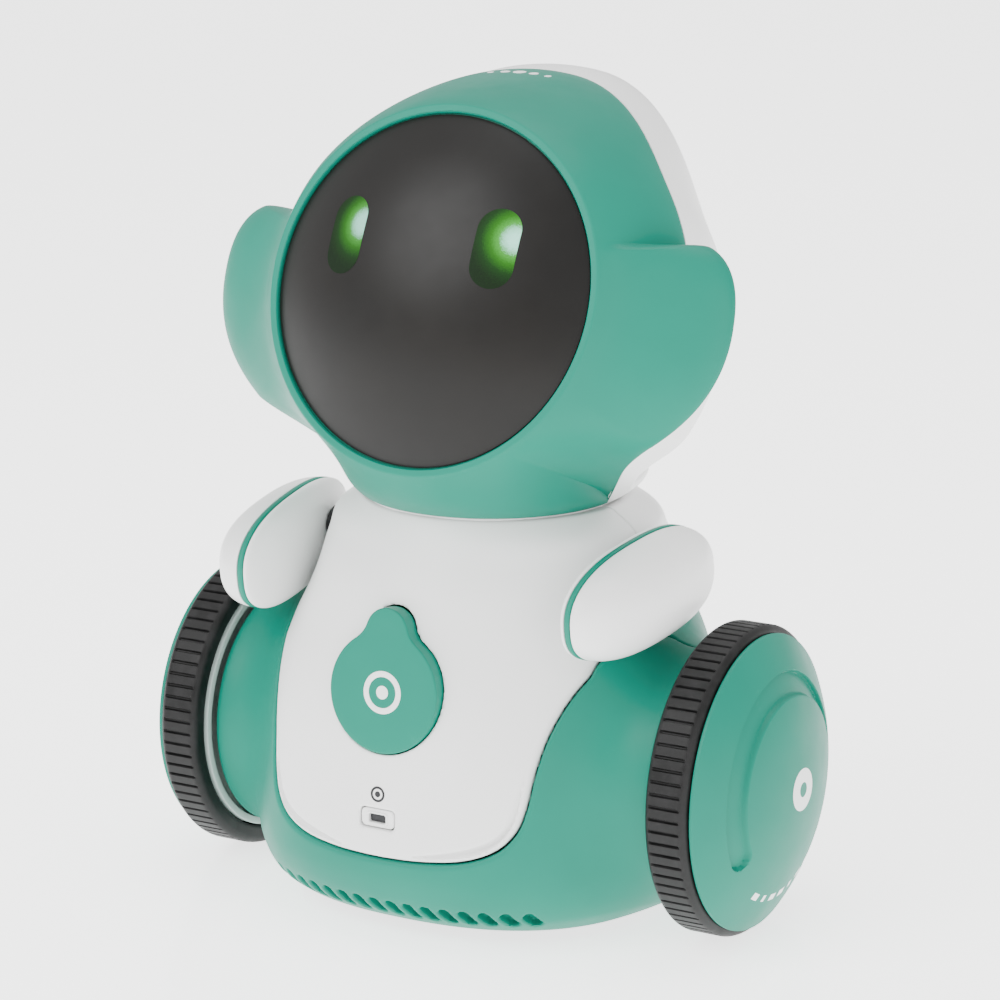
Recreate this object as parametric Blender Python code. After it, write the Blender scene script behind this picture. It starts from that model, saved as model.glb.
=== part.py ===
"""Two-wheel robot car: a round-headed table-top robot on two big wheels.

The robot stands on the plane z = 0 and faces -Y; its own left is +X.
The origin is on the ground, midway between the wheels.  All sizes below are
millimetres; MM turns them into Blender's metres where the meshes are made.
"""
import math

import bmesh
import bpy
from mathutils import Matrix, Vector

MM = 0.001
GAP = 0.3                     # clearance between neighbouring pieces
WALL = 1.8                    # moulded shell thickness

# Wheels
WHEEL_R = 29.0
TYRE_INNER_X = 48.4
TYRE_OUTER_X = 56.7
TYRE_BORE_R = 25.4
HUBCAP_R = 27.6
HUBCAP_X = 57.6               # base plane of the domed cap
HUBCAP_DOME = 8.7
AXLE_R = 1.5

# Head: a helmet about a tilted axis that leaves through the visor
HEAD_TILT = math.radians(17.5)
HEAD_AXIS_S = 106.8           # height of the axis, measured up the tilted plane
RIM_N = 56.0                  # visor rim plane, measured forward along the axis
SEAM_N = 41.2                 # seam between the front and rear shells, at the ears
SEAM_STEP = 4.6               # the seam steps back above the ears
SEAM_RUN = 7.9                # and runs further back towards the crown
REAR_N = -3.0                 # back of the helmet
VISOR_R = 32.5
RIM_BAND = 1.45
VISOR_DOME = 9.0
VISOR_WALL = 2.0
HEAD_BASE_R = 44.4
TEMPLE_DROP = 1.8             # the seam's radius drops above the ears
CROWN_RISE = 3.7              # and grows towards the crown
EAR_RISE = 9.8
EAR_TOP_DEG = 19.0
EAR_BOTTOM_DEG = -42.0
SEAM_LOW_DEG = -28.0
SEAM_DEGREES = (90.0, 80.0, 70.0, 60.0, 50.0, 42.0, 36.0, 28.0, 19.6, 18.1, 16.6, SEAM_LOW_DEG)
FAR_UP = 190.0
EYE_X = 15.5
EYE_RISE = 7.95
EYE_HALF_WIDTH = 4.05
EYE_HALF_HEIGHT = 7.55

# Neck
NECK_Y = 1.0
NECK_R = 24.5
NECK_Z = 77.4

# Body: superellipse sections, (height, half width, front depth, rear depth)
BODY_SECTIONS = (
    (2.3, 37.1, 33.0, 33.0),
    (6.0, 40.3, 37.8, 37.8),
    (11.6, 42.3, 40.6, 40.6),
    (17.4, 42.8, 41.2, 41.2),
    (26.0, 42.3, 40.6, 40.6),
    (36.3, 41.2, 39.4, 39.6),
    (48.4, 39.2, 37.4, 38.6),
    (58.0, 35.4, 34.8, 37.0),
    (64.0, 33.2, 32.3, 35.9),
    (69.6, 32.0, 29.0, 34.4),
    (73.5, 31.0, 26.6, 32.4),
    (77.0, 26.2, 24.2, 27.5),
)
BODY_TOP = 77.0
HULL_BOTTOM = 2.3
HULL_TOP = 54.4               # green and white halves meet here at the sides
POD_R = 23.8
POD_X = 47.6
AXLE_HOLE_R = 2.2
SHOULDER_Y = 0.0
SHOULDER_Z = 66.6
PIN_R = 2.0

# White chest panel: half outline of its U shape, (half width, height)
PANEL_OUTLINE = (
    (0.0, 16.5), (9.0, 16.8), (17.0, 17.8), (22.5, 20.0), (25.6, 23.5),
    (27.0, 28.0), (28.0, 35.0), (29.6, 42.5), (32.2, 49.5), (36.0, 54.0), (60.0, 55.0),
)

# Chest button and port
BUTTON_Z = 47.3
BUTTON_R = 11.3
BUTTON_NUB_R = 4.4
BUTTON_NUB_Z = 58.4
BUTTON_FILLET_R = 6.0         # hollow curves where the nub meets the disc
CHEST_LEAN = math.radians(7.0)
PORT_Z = 24.0

# Arms
ARM_X = 40.7                  # arm's middle plane at the shoulder
ARM_LENGTH = 42.5
ARM_HALF_HEIGHT = 9.7
ARM_CORNER = 2.5              # superellipse exponent of the arm's outline
DOME_CORNER = 2.3             # and of its domes
ARM_OUTER_DOME = 9.8          # from the stripe to the outer pole
ARM_INNER_FLAT = 1.0          # straight wall before the inner dome
ARM_INNER_DOME = 3.2          # from the stripe to the inner pole
STRIPE_X = -2.6               # the stripe runs round the arm's largest outline
ARM_PITCH = math.radians(7.5)
ARM_TOE = math.radians(5.7)
ARM_SHOULDER_BACK = 12.0      # shoulder pin to the arm's middle

# Drive
GEAR_MODULE = 0.8
WHEEL_TEETH = 36
PINION_TEETH = 12
GEAR_X0 = 29.5
GEAR_X1 = 32.5
GEARBOX_X0 = 27.9
GEARBOX_X1 = 33.5
PINION_ANGLE = math.radians(110.0)   # about the axle, from +Y over +Z
MOTOR_X0 = 9.0
MOTOR_X1 = 27.5
MOTOR_R = 7.6
MOTOR_SHAFT_R = 1.0

# Casters and base
CASTER_Y = 21.0
CASTER_R = 5.0
BATTERY_DOOR_X = 24.0
BATTERY_DOOR_Y = 13.5
SCREW_X = 28.0
SCREW_Y = 14.0
SCREW_R = 1.0

SIDES = (("left", 1.0), ("right", -1.0))

GREEN = (0.066, 0.489, 0.371, 1.0)
WHITE = (0.83, 0.83, 0.83, 1.0)
BLACK = (0.02, 0.02, 0.021, 1.0)
SMOKE = (0.03, 0.03, 0.032, 1.0)
GREY = (0.46, 0.52, 0.50, 1.0)
EYE_GREEN = (0.1, 0.7, 0.15, 1.0)
BOARD_GREEN = (0.02, 0.16, 0.06, 1.0)
STEEL = (0.6, 0.6, 0.62, 1.0)
BRASS = (0.7, 0.5, 0.2, 1.0)
DARK_GREY = (0.09, 0.09, 0.1, 1.0)

PALETTE = {
    "green_plastic": (GREEN, 0.42, 0.0),
    "white_plastic": (WHITE, 0.32, 0.0),
    "rubber": (BLACK, 0.75, 0.0),
    "smoked_lens": (SMOKE, 0.16, 0.0),
    "grey_plastic": (GREY, 0.45, 0.0),
    "eye_lens": (EYE_GREEN, 0.3, 0.0),
    "circuit_board": (BOARD_GREEN, 0.5, 0.0),
    "steel": (STEEL, 0.3, 1.0),
    "brass": (BRASS, 0.35, 1.0),
    "dark_plastic": (DARK_GREY, 0.5, 0.0),
}


# ---------------------------------------------------------------- helpers

def clear_scene():
    for obj in list(bpy.data.objects):
        bpy.data.objects.remove(obj, do_unlink=True)


def material(name):
    mat = bpy.data.materials.get(name)
    if mat is None:
        colour, roughness, metallic = PALETTE[name]
        mat = bpy.data.materials.new(name)
        mat.use_nodes = True
        shader = mat.node_tree.nodes["Principled BSDF"]
        shader.inputs["Base Color"].default_value = colour
        shader.inputs["Roughness"].default_value = roughness
        shader.inputs["Metallic"].default_value = metallic
    return mat


def object_from_bmesh(name, bm, material_name):
    """Weld, orient and link a bmesh whose coordinates are millimetres."""
    bmesh.ops.remove_doubles(bm, verts=bm.verts, dist=0.001)
    bmesh.ops.scale(bm, vec=(MM, MM, MM), verts=bm.verts)
    mesh = bpy.data.meshes.new(name)
    bm.to_mesh(mesh)
    bm.free()
    mesh.shade_smooth()
    mesh.set_sharp_from_angle(angle=math.radians(35.0))
    obj = bpy.data.objects.new(name, mesh)
    bpy.context.collection.objects.link(obj)
    if material_name:
        mesh.materials.append(material(material_name))
    return obj


def face_outwards(bm):
    """Make the faces of a closed bmesh agree and point out of it."""
    bmesh.ops.remove_doubles(bm, verts=bm.verts, dist=0.001)
    bmesh.ops.recalc_face_normals(bm, faces=bm.faces)
    if bm.calc_volume(signed=True) < 0.0:
        bmesh.ops.reverse_faces(bm, faces=bm.faces)


def grid_bmesh(rows, closed):
    """Quads between rows of points; closed joins each row's last point to its first."""
    bm = bmesh.new()
    grid = [[bm.verts.new(p) for p in row] for row in rows]
    for lower, upper in zip(grid, grid[1:]):
        count = len(lower)
        for i in range(count if closed else count - 1):
            j = (i + 1) % count
            bm.faces.new((lower[i], lower[j], upper[j], upper[i]))
    return bm, grid


def loft(name, rings, material_name):
    """Closed solid through closed rings, with a flat cap at both ends."""
    bm, grid = grid_bmesh(rings, True)
    bm.faces.new(list(reversed(grid[0])))
    bm.faces.new(grid[-1])
    face_outwards(bm)
    return object_from_bmesh(name, bm, material_name)


def shell(name, rows, thickness, material_name, closed=False, outward=None):
    """Open surface through rows of points, thickened inwards to a closed body."""
    bm, _ = grid_bmesh(rows, closed)
    bmesh.ops.remove_doubles(bm, verts=bm.verts, dist=0.001)
    bmesh.ops.recalc_face_normals(bm, faces=bm.faces)
    bm.faces.ensure_lookup_table()
    facing = sum((f.calc_center_median() - Vector(outward)).dot(f.normal) * f.calc_area()
                 for f in bm.faces)
    if facing < 0.0:
        bmesh.ops.reverse_faces(bm, faces=bm.faces)
    obj = object_from_bmesh(name, bm, material_name)
    solidify = obj.modifiers.new("wall", "SOLIDIFY")
    solidify.thickness = thickness * MM
    solidify.offset = -1.0
    solidify.use_even_offset = False
    return obj


def turned(name, profile, material_name, steps=32, place=Matrix.Identity(4)):
    """Spin a closed (axial, radius) profile about local X and place it."""
    bm = bmesh.new()
    rings = []
    for axial, radius in profile:
        if radius < 1e-6:
            rings.append([bm.verts.new((axial, 0.0, 0.0))] * steps)
            continue
        rings.append([
            bm.verts.new((axial, radius * math.cos(a), radius * math.sin(a)))
            for a in (2.0 * math.pi * k / steps for k in range(steps))
        ])
    for here, there in zip(rings, rings[1:] + rings[:1]):
        for k in range(steps):
            j = (k + 1) % steps
            corners = dict.fromkeys((here[k], here[j], there[j], there[k]))
            if len(corners) > 2:
                bm.faces.new(tuple(corners))
    bm.transform(place)
    face_outwards(bm)
    return object_from_bmesh(name, bm, material_name)


def rod_profile(x0, x1, radius):
    return ((x0, 0.0), (x0, radius), (x1, radius), (x1, 0.0))


def tube_profile(x0, x1, inner, outer):
    return ((x0, inner), (x0, outer), (x1, outer), (x1, inner))


def prism(name, outline, low, high, material_name, place=Matrix.Identity(4)):
    """Extrude a flat outline, given in local X and Y, from low to high along Z."""
    bm = bmesh.new()
    face = bm.faces.new([bm.verts.new((x, y, low)) for x, y in outline])
    ext = bmesh.ops.extrude_face_region(bm, geom=[face])
    tops = [v for v in ext["geom"] if isinstance(v, bmesh.types.BMVert)]
    bmesh.ops.translate(bm, vec=(0.0, 0.0, high - low), verts=tops)
    bm.transform(place)
    face_outwards(bm)
    return object_from_bmesh(name, bm, material_name)


def box(name, low, high, material_name):
    outline = ((low[0], low[1]), (high[0], low[1]), (high[0], high[1]), (low[0], high[1]))
    return prism(name, outline, low[2], high[2], material_name)


def round_outline(half_x, half_y, radius, steps=3):
    """Rounded rectangle centred on the origin."""
    points = []
    for quarter, (sx, sy) in enumerate(((1, 1), (-1, 1), (-1, -1), (1, -1))):
        for k in range(steps + 1):
            a = math.pi / 2.0 * (quarter + k / steps)
            points.append((sx * (half_x - radius) + radius * math.cos(a),
                           sy * (half_y - radius) + radius * math.sin(a)))
    return points


def nub_outline(radius, nub_radius, nub_offset, fillet, steps=8):
    """A disc with a round nub above it, joined by hollow fillets on both sides."""
    big = radius + fillet
    small = nub_radius + fillet
    cos_a = (big * big + nub_offset * nub_offset - small * small) / (2.0 * big * nub_offset)
    lean = math.acos(cos_a)
    hollow = Vector((big * math.sin(lean), big * math.cos(lean)))
    to_nub = Vector((0.0, nub_offset)) - hollow
    nub_angle = math.atan2(-to_nub.y, -to_nub.x)
    points = []
    for k in range(2 * steps + 1):
        a = nub_angle + (math.pi - 2.0 * nub_angle) * k / (2 * steps)
        points.append((nub_radius * math.cos(a), nub_offset + nub_radius * math.sin(a)))
    first = math.atan2(to_nub.y, -to_nub.x)
    last = math.atan2(-hollow.y, hollow.x)
    for k in range(1, steps):
        a = first + (last - first) * k / steps
        points.append((-hollow.x + fillet * math.cos(a), hollow.y + fillet * math.sin(a)))
    edge = math.pi / 2.0 + lean
    for k in range(4 * steps + 1):
        a = edge + (2.0 * math.pi - 2.0 * lean) * k / (4 * steps)
        points.append((radius * math.cos(a), radius * math.sin(a)))
    for k in range(steps - 1, 0, -1):
        a = first + (last - first) * k / steps
        points.append((hollow.x - fillet * math.cos(a), hollow.y + fillet * math.sin(a)))
    return points


def boolean(obj, tool, operation="DIFFERENCE"):
    """Apply one Boolean tool, which stays in the file as a hidden guide."""
    tool.hide_render = True
    tool.display_type = "WIRE"
    mod = obj.modifiers.new(operation.lower() + "_" + tool.name, "BOOLEAN")
    mod.operation = operation
    mod.solver = "EXACT"
    mod.object = tool
    return obj


def parent_at(name, location, axis_objects):
    """Put an empty on a joint axis and hang the body's pieces on it."""
    pivot = bpy.data.objects.new(name, None)
    pivot.location = Vector(location) * MM
    bpy.context.collection.objects.link(pivot)
    for obj in axis_objects:
        obj.parent = pivot
        obj.matrix_parent_inverse = Matrix.Translation(-pivot.location)
    return pivot


def to_side(side):
    """Turned profiles run outwards along +X or -X."""
    return Matrix.Rotation(0.0 if side > 0 else math.pi, 4, "Z")


def at_point(x, y, z):
    return Matrix.Translation((x, y, z))


# A prism with its outline in the YZ plane and its depth along X
LYING_ACROSS = Matrix(((0, 0, 1, 0), (1, 0, 0, 0), (0, 1, 0, 0), (0, 0, 0, 1)))
# Stands a turned profile up, so that it runs along +Z
UPRIGHT = Matrix.Rotation(-math.pi / 2.0, 4, "Y")
# A prism with its outline in the XZ plane and its depth along Y
STANDING_UP = Matrix(((1, 0, 0, 0), (0, 0, 1, 0), (0, 1, 0, 0), (0, 0, 0, 1)))


# ---------------------------------------------------------------- head form

def head_point(theta, radius, n):
    """Point at polar angle theta and radius about the helmet axis, n forward on it."""
    s = HEAD_AXIS_S + radius * math.sin(theta)
    return Vector((radius * math.cos(theta),
                   s * math.sin(HEAD_TILT) - n * math.cos(HEAD_TILT),
                   s * math.cos(HEAD_TILT) + n * math.sin(HEAD_TILT)))


def head_polar(point):
    """Polar angle, radius and n of a world point: the inverse of head_point."""
    s = point.y * math.sin(HEAD_TILT) + point.z * math.cos(HEAD_TILT)
    n = -point.y * math.cos(HEAD_TILT) + point.z * math.sin(HEAD_TILT)
    return math.atan2(s - HEAD_AXIS_S, point.x), math.hypot(point.x, s - HEAD_AXIS_S), n


def ear_rise(theta):
    """How far the ear stands out of the round helmet at this polar angle."""
    degrees = math.degrees(theta)
    if 0.0 <= degrees < EAR_TOP_DEG:
        return EAR_RISE * (1.0 - (degrees / EAR_TOP_DEG) ** 3) ** 0.6
    if EAR_BOTTOM_DEG < degrees < 0.0:
        return EAR_RISE * (1.0 - (degrees / EAR_BOTTOM_DEG) ** 2.2) ** 2.2
    return 0.0


def smooth_step(t):
    t = min(1.0, max(0.0, t))
    return t * t * (3.0 - 2.0 * t)


def base_radius(theta):
    """Radius of the seam without the ears."""
    degrees = math.degrees(theta)
    drop = TEMPLE_DROP * smooth_step((degrees - 16.6) / 3.0)
    return HEAD_BASE_R - drop + CROWN_RISE * smooth_step((degrees - 35.0) / 45.0)


def seam_n(theta):
    """How far forward the seam lies: level at the ears, running back to the crown."""
    degrees = math.degrees(theta)
    step = SEAM_STEP * smooth_step((degrees - 16.6) / 3.0)
    return SEAM_N - step - SEAM_RUN * smooth_step((degrees - 32.0) / 52.0)


def neck_point(turn, front):
    """Point on the neck circle, turned from the side towards the front or the rear."""
    toward = -1.0 if front else 1.0
    return Vector((NECK_R * math.cos(turn), NECK_Y + toward * NECK_R * math.sin(turn), NECK_Z))


def head_end(theta, front):
    """Where a meridian of the helmet ends: polar angle, base radius and n.

    Down to the lower ear the end is the seam, then it runs back to the neck's
    side, and below that it follows the neck circle.
    """
    side_theta, side_radius, side_n = head_polar(neck_point(0.0, front))
    low = math.radians(SEAM_LOW_DEG)
    if theta >= low:
        return theta, base_radius(theta), seam_n(theta)
    if theta >= side_theta:
        w = (low - theta) / (low - side_theta)
        radius = base_radius(theta) + (side_radius - HEAD_BASE_R) * w
        return theta, radius, SEAM_N + (side_n - SEAM_N) * w ** 1.3
    turn = math.pi / 2.0 * (side_theta - theta) / (side_theta + math.pi / 2.0)
    return head_polar(neck_point(turn, front))


def bezier(p0, p1, p2, p3, t):
    return (p0 * (1 - t) ** 3 + p1 * 3 * t * (1 - t) ** 2
            + p2 * 3 * t * t * (1 - t) + p3 * t ** 3)


def neck_share(theta):
    """0 on the seam, 1 on the neck circle."""
    low = math.radians(SEAM_LOW_DEG)
    side_theta = head_polar(neck_point(0.0, True))[0]
    return smooth_step((low - theta) / (low - side_theta))


def front_meridian(theta, t):
    """Point on the green front shell: t runs from the visor rim (0) to the end (1)."""
    end_theta, end_radius, end_n = head_end(theta, True)
    axial = Vector((0.0, -math.cos(HEAD_TILT), math.sin(HEAD_TILT)))
    start = head_point(theta, VISOR_R + RIM_BAND, RIM_N)
    end = head_point(end_theta, end_radius, end_n)
    radial = head_point(theta, 1.0, 0.0) - head_point(theta, 0.0, 0.0)
    share = neck_share(theta)
    crown = smooth_step((math.degrees(theta) - 10.0) / 30.0)
    leave = start + radial * (2.8 - 0.3 * share + 0.7 * crown) - axial * 3.4
    outwards = Vector((end.x, end.y - NECK_Y, 0.0)).normalized()
    arrive_neck = outwards * 4.5 + Vector((0.0, 0.0, 3.0))
    arrive_seam = axial * (4.0 + 1.8 * crown) - radial * 0.7 * crown
    arrive = end + arrive_seam * (1.0 - share) + arrive_neck * share
    point = bezier(start, leave, arrive, end, t)
    n = head_polar(point)[2]
    flare = smooth_step((RIM_N - 1.5 - n) / (RIM_N - 1.5 - SEAM_N)) ** 1.2
    return point + radial * ear_rise(theta) * flare


def rear_meridian(theta, t):
    """Point on the white rear shell: t runs from the end (0) to the rear pole (1)."""
    end_theta, end_radius, end_n = head_end(theta, False)
    axial = Vector((0.0, -math.cos(HEAD_TILT), math.sin(HEAD_TILT)))
    start = head_point(end_theta, end_radius, end_n)
    pole = head_point(theta, 0.0, REAR_N)
    radial = head_point(theta, 1.0, 0.0) - head_point(theta, 0.0, 0.0)
    share = neck_share(theta)
    outwards = Vector((start.x, start.y - NECK_Y, 0.0)).normalized()
    leave_neck = outwards * 13.0 + Vector((0.0, 0.0, 6.0))
    crown = smooth_step((math.degrees(theta) - 33.0) / 49.0)
    leave_seam = radial * (18.8 * crown - 5.6) - axial * (36.4 - 9.0 * crown)
    leave = start + leave_seam * (1.0 - share) + leave_neck * share
    arrive = pole + radial * (37.9 - 14.1 * crown - 16.0 * share)
    point = bezier(start, leave, arrive, pole, t)
    n = head_polar(point)[2]
    fall = max(0.0, 1.0 - (SEAM_N - n) / 13.0) ** 2
    return point + radial * ear_rise(theta) * fall * max(0.0, 1.0 - share)


def meridian_angles(crown_steps, ear_steps, neck_steps):
    """Half the helmet's polar angles, crown to chin, closer together at the ears."""
    top = [90.0 - (90.0 - EAR_TOP_DEG) * k / crown_steps for k in range(crown_steps)]
    ear = [EAR_TOP_DEG - (EAR_TOP_DEG - SEAM_LOW_DEG) * k / ear_steps for k in range(ear_steps)]
    low = [SEAM_LOW_DEG - (90.0 + SEAM_LOW_DEG) * k / neck_steps for k in range(neck_steps + 1)]
    return [math.radians(d) for d in top + ear + low]


def mirrored_rows(meridian, angles, steps, first=0.0, last=1.0):
    """Closed rows of a meridian surface, the right half mirrored from the left."""
    rows = []
    for k in range(steps + 1):
        t = first + (last - first) * k / steps
        half = [meridian(theta, t) for theta in angles]
        other = [Vector((-p.x, p.y, p.z)) for p in reversed(half[1:-1])]
        rows.append(half + other)
    return rows


def seam_prism(name, front):
    """Everything on one side of the seam between the helmet's two shells."""
    places = [(HEAD_AXIS_S + base_radius(math.radians(d)) * math.sin(math.radians(d)),
               seam_n(math.radians(d))) for d in SEAM_DEGREES]
    places.insert(0, (FAR_UP, places[0][1]))
    line = [(s * math.sin(HEAD_TILT) - n * math.cos(HEAD_TILT),
             s * math.cos(HEAD_TILT) + n * math.sin(HEAD_TILT)) for s, n in places]
    line += [(NECK_Y, NECK_Z), (NECK_Y, 60.0)]
    shift = -GAP / 2.0 if front else GAP / 2.0
    far = -90.0 if front else 90.0
    outline = [(y + shift, z) for y, z in line] + [(far, 60.0), (far, line[0][1])]
    return prism(name, outline, -80.0, 80.0, None, LYING_ACROSS)


def head_frame():
    """Matrix whose local X leaves through the visor and whose local Z runs up the slope."""
    x_axis = Vector((0.0, -math.cos(HEAD_TILT), math.sin(HEAD_TILT)))
    z_axis = Vector((0.0, math.sin(HEAD_TILT), math.cos(HEAD_TILT)))
    y_axis = z_axis.cross(x_axis)
    place = Matrix((x_axis, y_axis, z_axis)).transposed().to_4x4()
    return Matrix.Translation(head_point(0.0, 0.0, 0.0)) @ place


def dome_profile(base_x, radius, height, wall, steps):
    """Closed profile of a thin spherical dome, apex first and last."""
    sphere = (radius * radius + height * height) / (2.0 * height)
    half = math.asin(radius / sphere)
    outer = [(base_x + height - sphere + sphere * math.cos(half * k / steps),
              sphere * math.sin(half * k / steps)) for k in range(steps + 1)]
    inner_half = math.asin((radius - wall * 0.2) / sphere)
    inner = [(base_x + height - sphere - wall + sphere * math.cos(inner_half * k / steps),
              sphere * math.sin(inner_half * k / steps)) for k in range(steps, -1, -1)]
    return outer + inner


# ---------------------------------------------------------------- body form

def section_at(z):
    """Half width, front depth and rear depth of the body at height z."""
    z = min(max(z, BODY_SECTIONS[0][0]), BODY_SECTIONS[-1][0])
    for k in range(len(BODY_SECTIONS) - 1):
        if z <= BODY_SECTIONS[k + 1][0]:
            break
    first = BODY_SECTIONS[max(0, k - 1)]
    low = BODY_SECTIONS[k]
    high = BODY_SECTIONS[k + 1]
    last = BODY_SECTIONS[min(len(BODY_SECTIONS) - 1, k + 2)]
    span = high[0] - low[0]
    t = (z - low[0]) / span
    values = []
    for i in (1, 2, 3):
        slope_low = (high[i] - first[i]) / (high[0] - first[0]) * span
        slope_high = (last[i] - low[i]) / (last[0] - low[0]) * span
        values.append(low[i] * (2 * t ** 3 - 3 * t ** 2 + 1) + slope_low * (t ** 3 - 2 * t * t + t)
                      + high[i] * (3 * t * t - 2 * t ** 3) + slope_high * (t ** 3 - t * t))
    return values


def power_cos(value, exponent):
    return math.copysign(abs(value) ** (2.0 / exponent), value)


def body_point(turn, z, inset=0.0):
    """Body surface at height z; turn 0 is the front, pi/2 is the robot's left."""
    half, front, rear = section_at(z)
    neck_share_here = smooth_step((z - 64.0) / (BODY_TOP - 64.0))
    is_front = math.cos(turn) > 0.0
    waist = smooth_step((z - 36.0) / 26.0)
    exponent = (2.35 - 0.52 * waist) if is_front else (2.7 - 0.3 * waist - 0.4 * neck_share_here)
    depth = (front if is_front else rear) - inset
    x = (half - inset) * power_cos(math.sin(turn), exponent)
    y = -depth * power_cos(math.cos(turn), exponent) + NECK_Y * neck_share_here
    return Vector((x, y, z))


def body_rings(z0, z1, steps, inset, turns=32):
    rings = []
    for k in range(steps + 1):
        z = z0 + (z1 - z0) * k / steps
        rings.append([body_point(2.0 * math.pi * i / turns, z, inset) for i in range(turns)])
    return rings


def body_solid(name, z0, z1, steps, inset):
    return loft(name, body_rings(z0, z1, steps, inset), None)


def panel_prism(name, grow, y0, y1):
    """Everything above the chest panel's U-shaped edge, between two y planes."""
    half = [(x + grow if x > 0 else 0.0, z - grow) for x, z in PANEL_OUTLINE]
    outline = [(-x, z) for x, z in reversed(half[1:])] + half + [(60.0, 90.0), (-60.0, 90.0)]
    return prism(name, outline, y0, y1, None, STANDING_UP)


def pod_solid(name, side, radius, x0, x1, round_r):
    profile = [(x0, 0.0), (x0, radius)]
    for k in range(4):
        a = math.pi / 2.0 * k / 3
        profile.append((x1 - round_r + round_r * math.sin(a),
                        radius - round_r + round_r * math.cos(a)))
    profile.append((x1, 0.0))
    return turned(name, profile, None, 28, at_point(0, 0, WHEEL_R) @ to_side(side))


def make_hull():
    """Green lower body: two half shells with round hips, split at y = 0."""
    outer = body_solid("hull_outer_form", HULL_BOTTOM, HULL_TOP + 8.0, 9, 0.0)
    inner = body_solid("hull_inner_form", HULL_BOTTOM - 1.0, HULL_TOP + 9.0, 9, WALL)
    for word, side in SIDES:
        boolean(outer, pod_solid("pod_outer_" + word, side, POD_R, 24.0, POD_X, 2.0), "UNION")
        boolean(inner, pod_solid("pod_inner_" + word, side, POD_R - WALL, 23.0,
                                 POD_X - WALL, 1.0), "UNION")
    axle_hole = turned("axle_hole_form", rod_profile(-60.0, 60.0, AXLE_HOLE_R), None, 12,
                       at_point(0, 0, WHEEL_R))
    for form in (outer, inner, axle_hole):
        form.hide_render = True
        form.display_type = "WIRE"
    for name, low_y, high_y in (("hull_front_shell", -70.0, -GAP / 2),
                                ("hull_rear_shell", GAP / 2, 70.0)):
        block = box(name, (-70.0, low_y, 0.0), (70.0, high_y, 100.0), "green_plastic")
        boolean(block, outer, "INTERSECT")
        boolean(block, inner)
        boolean(block, axle_hole)
        if high_y < 0.0:
            boolean(block, panel_prism("hull_panel_cut", 0.0, -70.0, 10.0))
        else:
            boolean(block, box("hull_rear_cut", (-70, -1, HULL_TOP), (70, 70, 90), None))


def make_torso():
    """White chest panel and white upper back."""
    outer = body_solid("torso_outer_form", 12.0, BODY_TOP, 10, 0.0)
    inner = body_solid("torso_inner_form", 11.0, BODY_TOP + 1.0, 10, WALL)
    for form in (outer, inner):
        form.hide_render = True
        form.display_type = "WIRE"
    pin_hole = turned("pin_hole_form", rod_profile(-60.0, 60.0, PIN_R + GAP), None, 12,
                      at_point(0, SHOULDER_Y, SHOULDER_Z))
    front = panel_prism("torso_front_panel", -GAP, -70.0, -GAP / 2)
    front.data.materials.append(material("white_plastic"))
    nub_offset = BUTTON_NUB_Z - BUTTON_Z
    boolean(front, prism("button_hole_form",
                         nub_outline(BUTTON_R + GAP, BUTTON_NUB_R + GAP, nub_offset,
                                     BUTTON_FILLET_R - GAP),
                         -8.0, 50.0, None, chest_frame()))
    boolean(front, prism("port_hole_form", round_outline(3.8, 1.95, 1.2), -12.0, 50.0, None,
                         upright_frame(-40.0, PORT_Z)))
    boolean(front, outer, "INTERSECT")
    boolean(front, inner)
    rear = box("torso_rear_shell", (-70, GAP / 2, HULL_TOP + GAP), (70, 70, 90), "white_plastic")
    boolean(rear, outer, "INTERSECT")
    boolean(rear, inner)
    boolean(rear, pin_hole)
    boolean(front, pin_hole)


def chest_frame():
    """Local Z leaves the chest forwards and local Y runs up it."""
    y_surface = body_point(0.0, BUTTON_Z).y
    out = Vector((0.0, -math.cos(CHEST_LEAN), math.sin(CHEST_LEAN)))
    up = Vector((0.0, math.sin(CHEST_LEAN), math.cos(CHEST_LEAN)))
    side = up.cross(out)
    place = Matrix((side, up, out)).transposed().to_4x4()
    return Matrix.Translation((0.0, y_surface, BUTTON_Z)) @ place


def upright_frame(y, z):
    """Local Z points forwards (-Y), local Y points up."""
    place = Matrix(((1, 0, 0, 0), (0, 0, -1, y), (0, 1, 0, z), (0, 0, 0, 1)))
    return place


# ---------------------------------------------------------------- pieces

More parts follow.
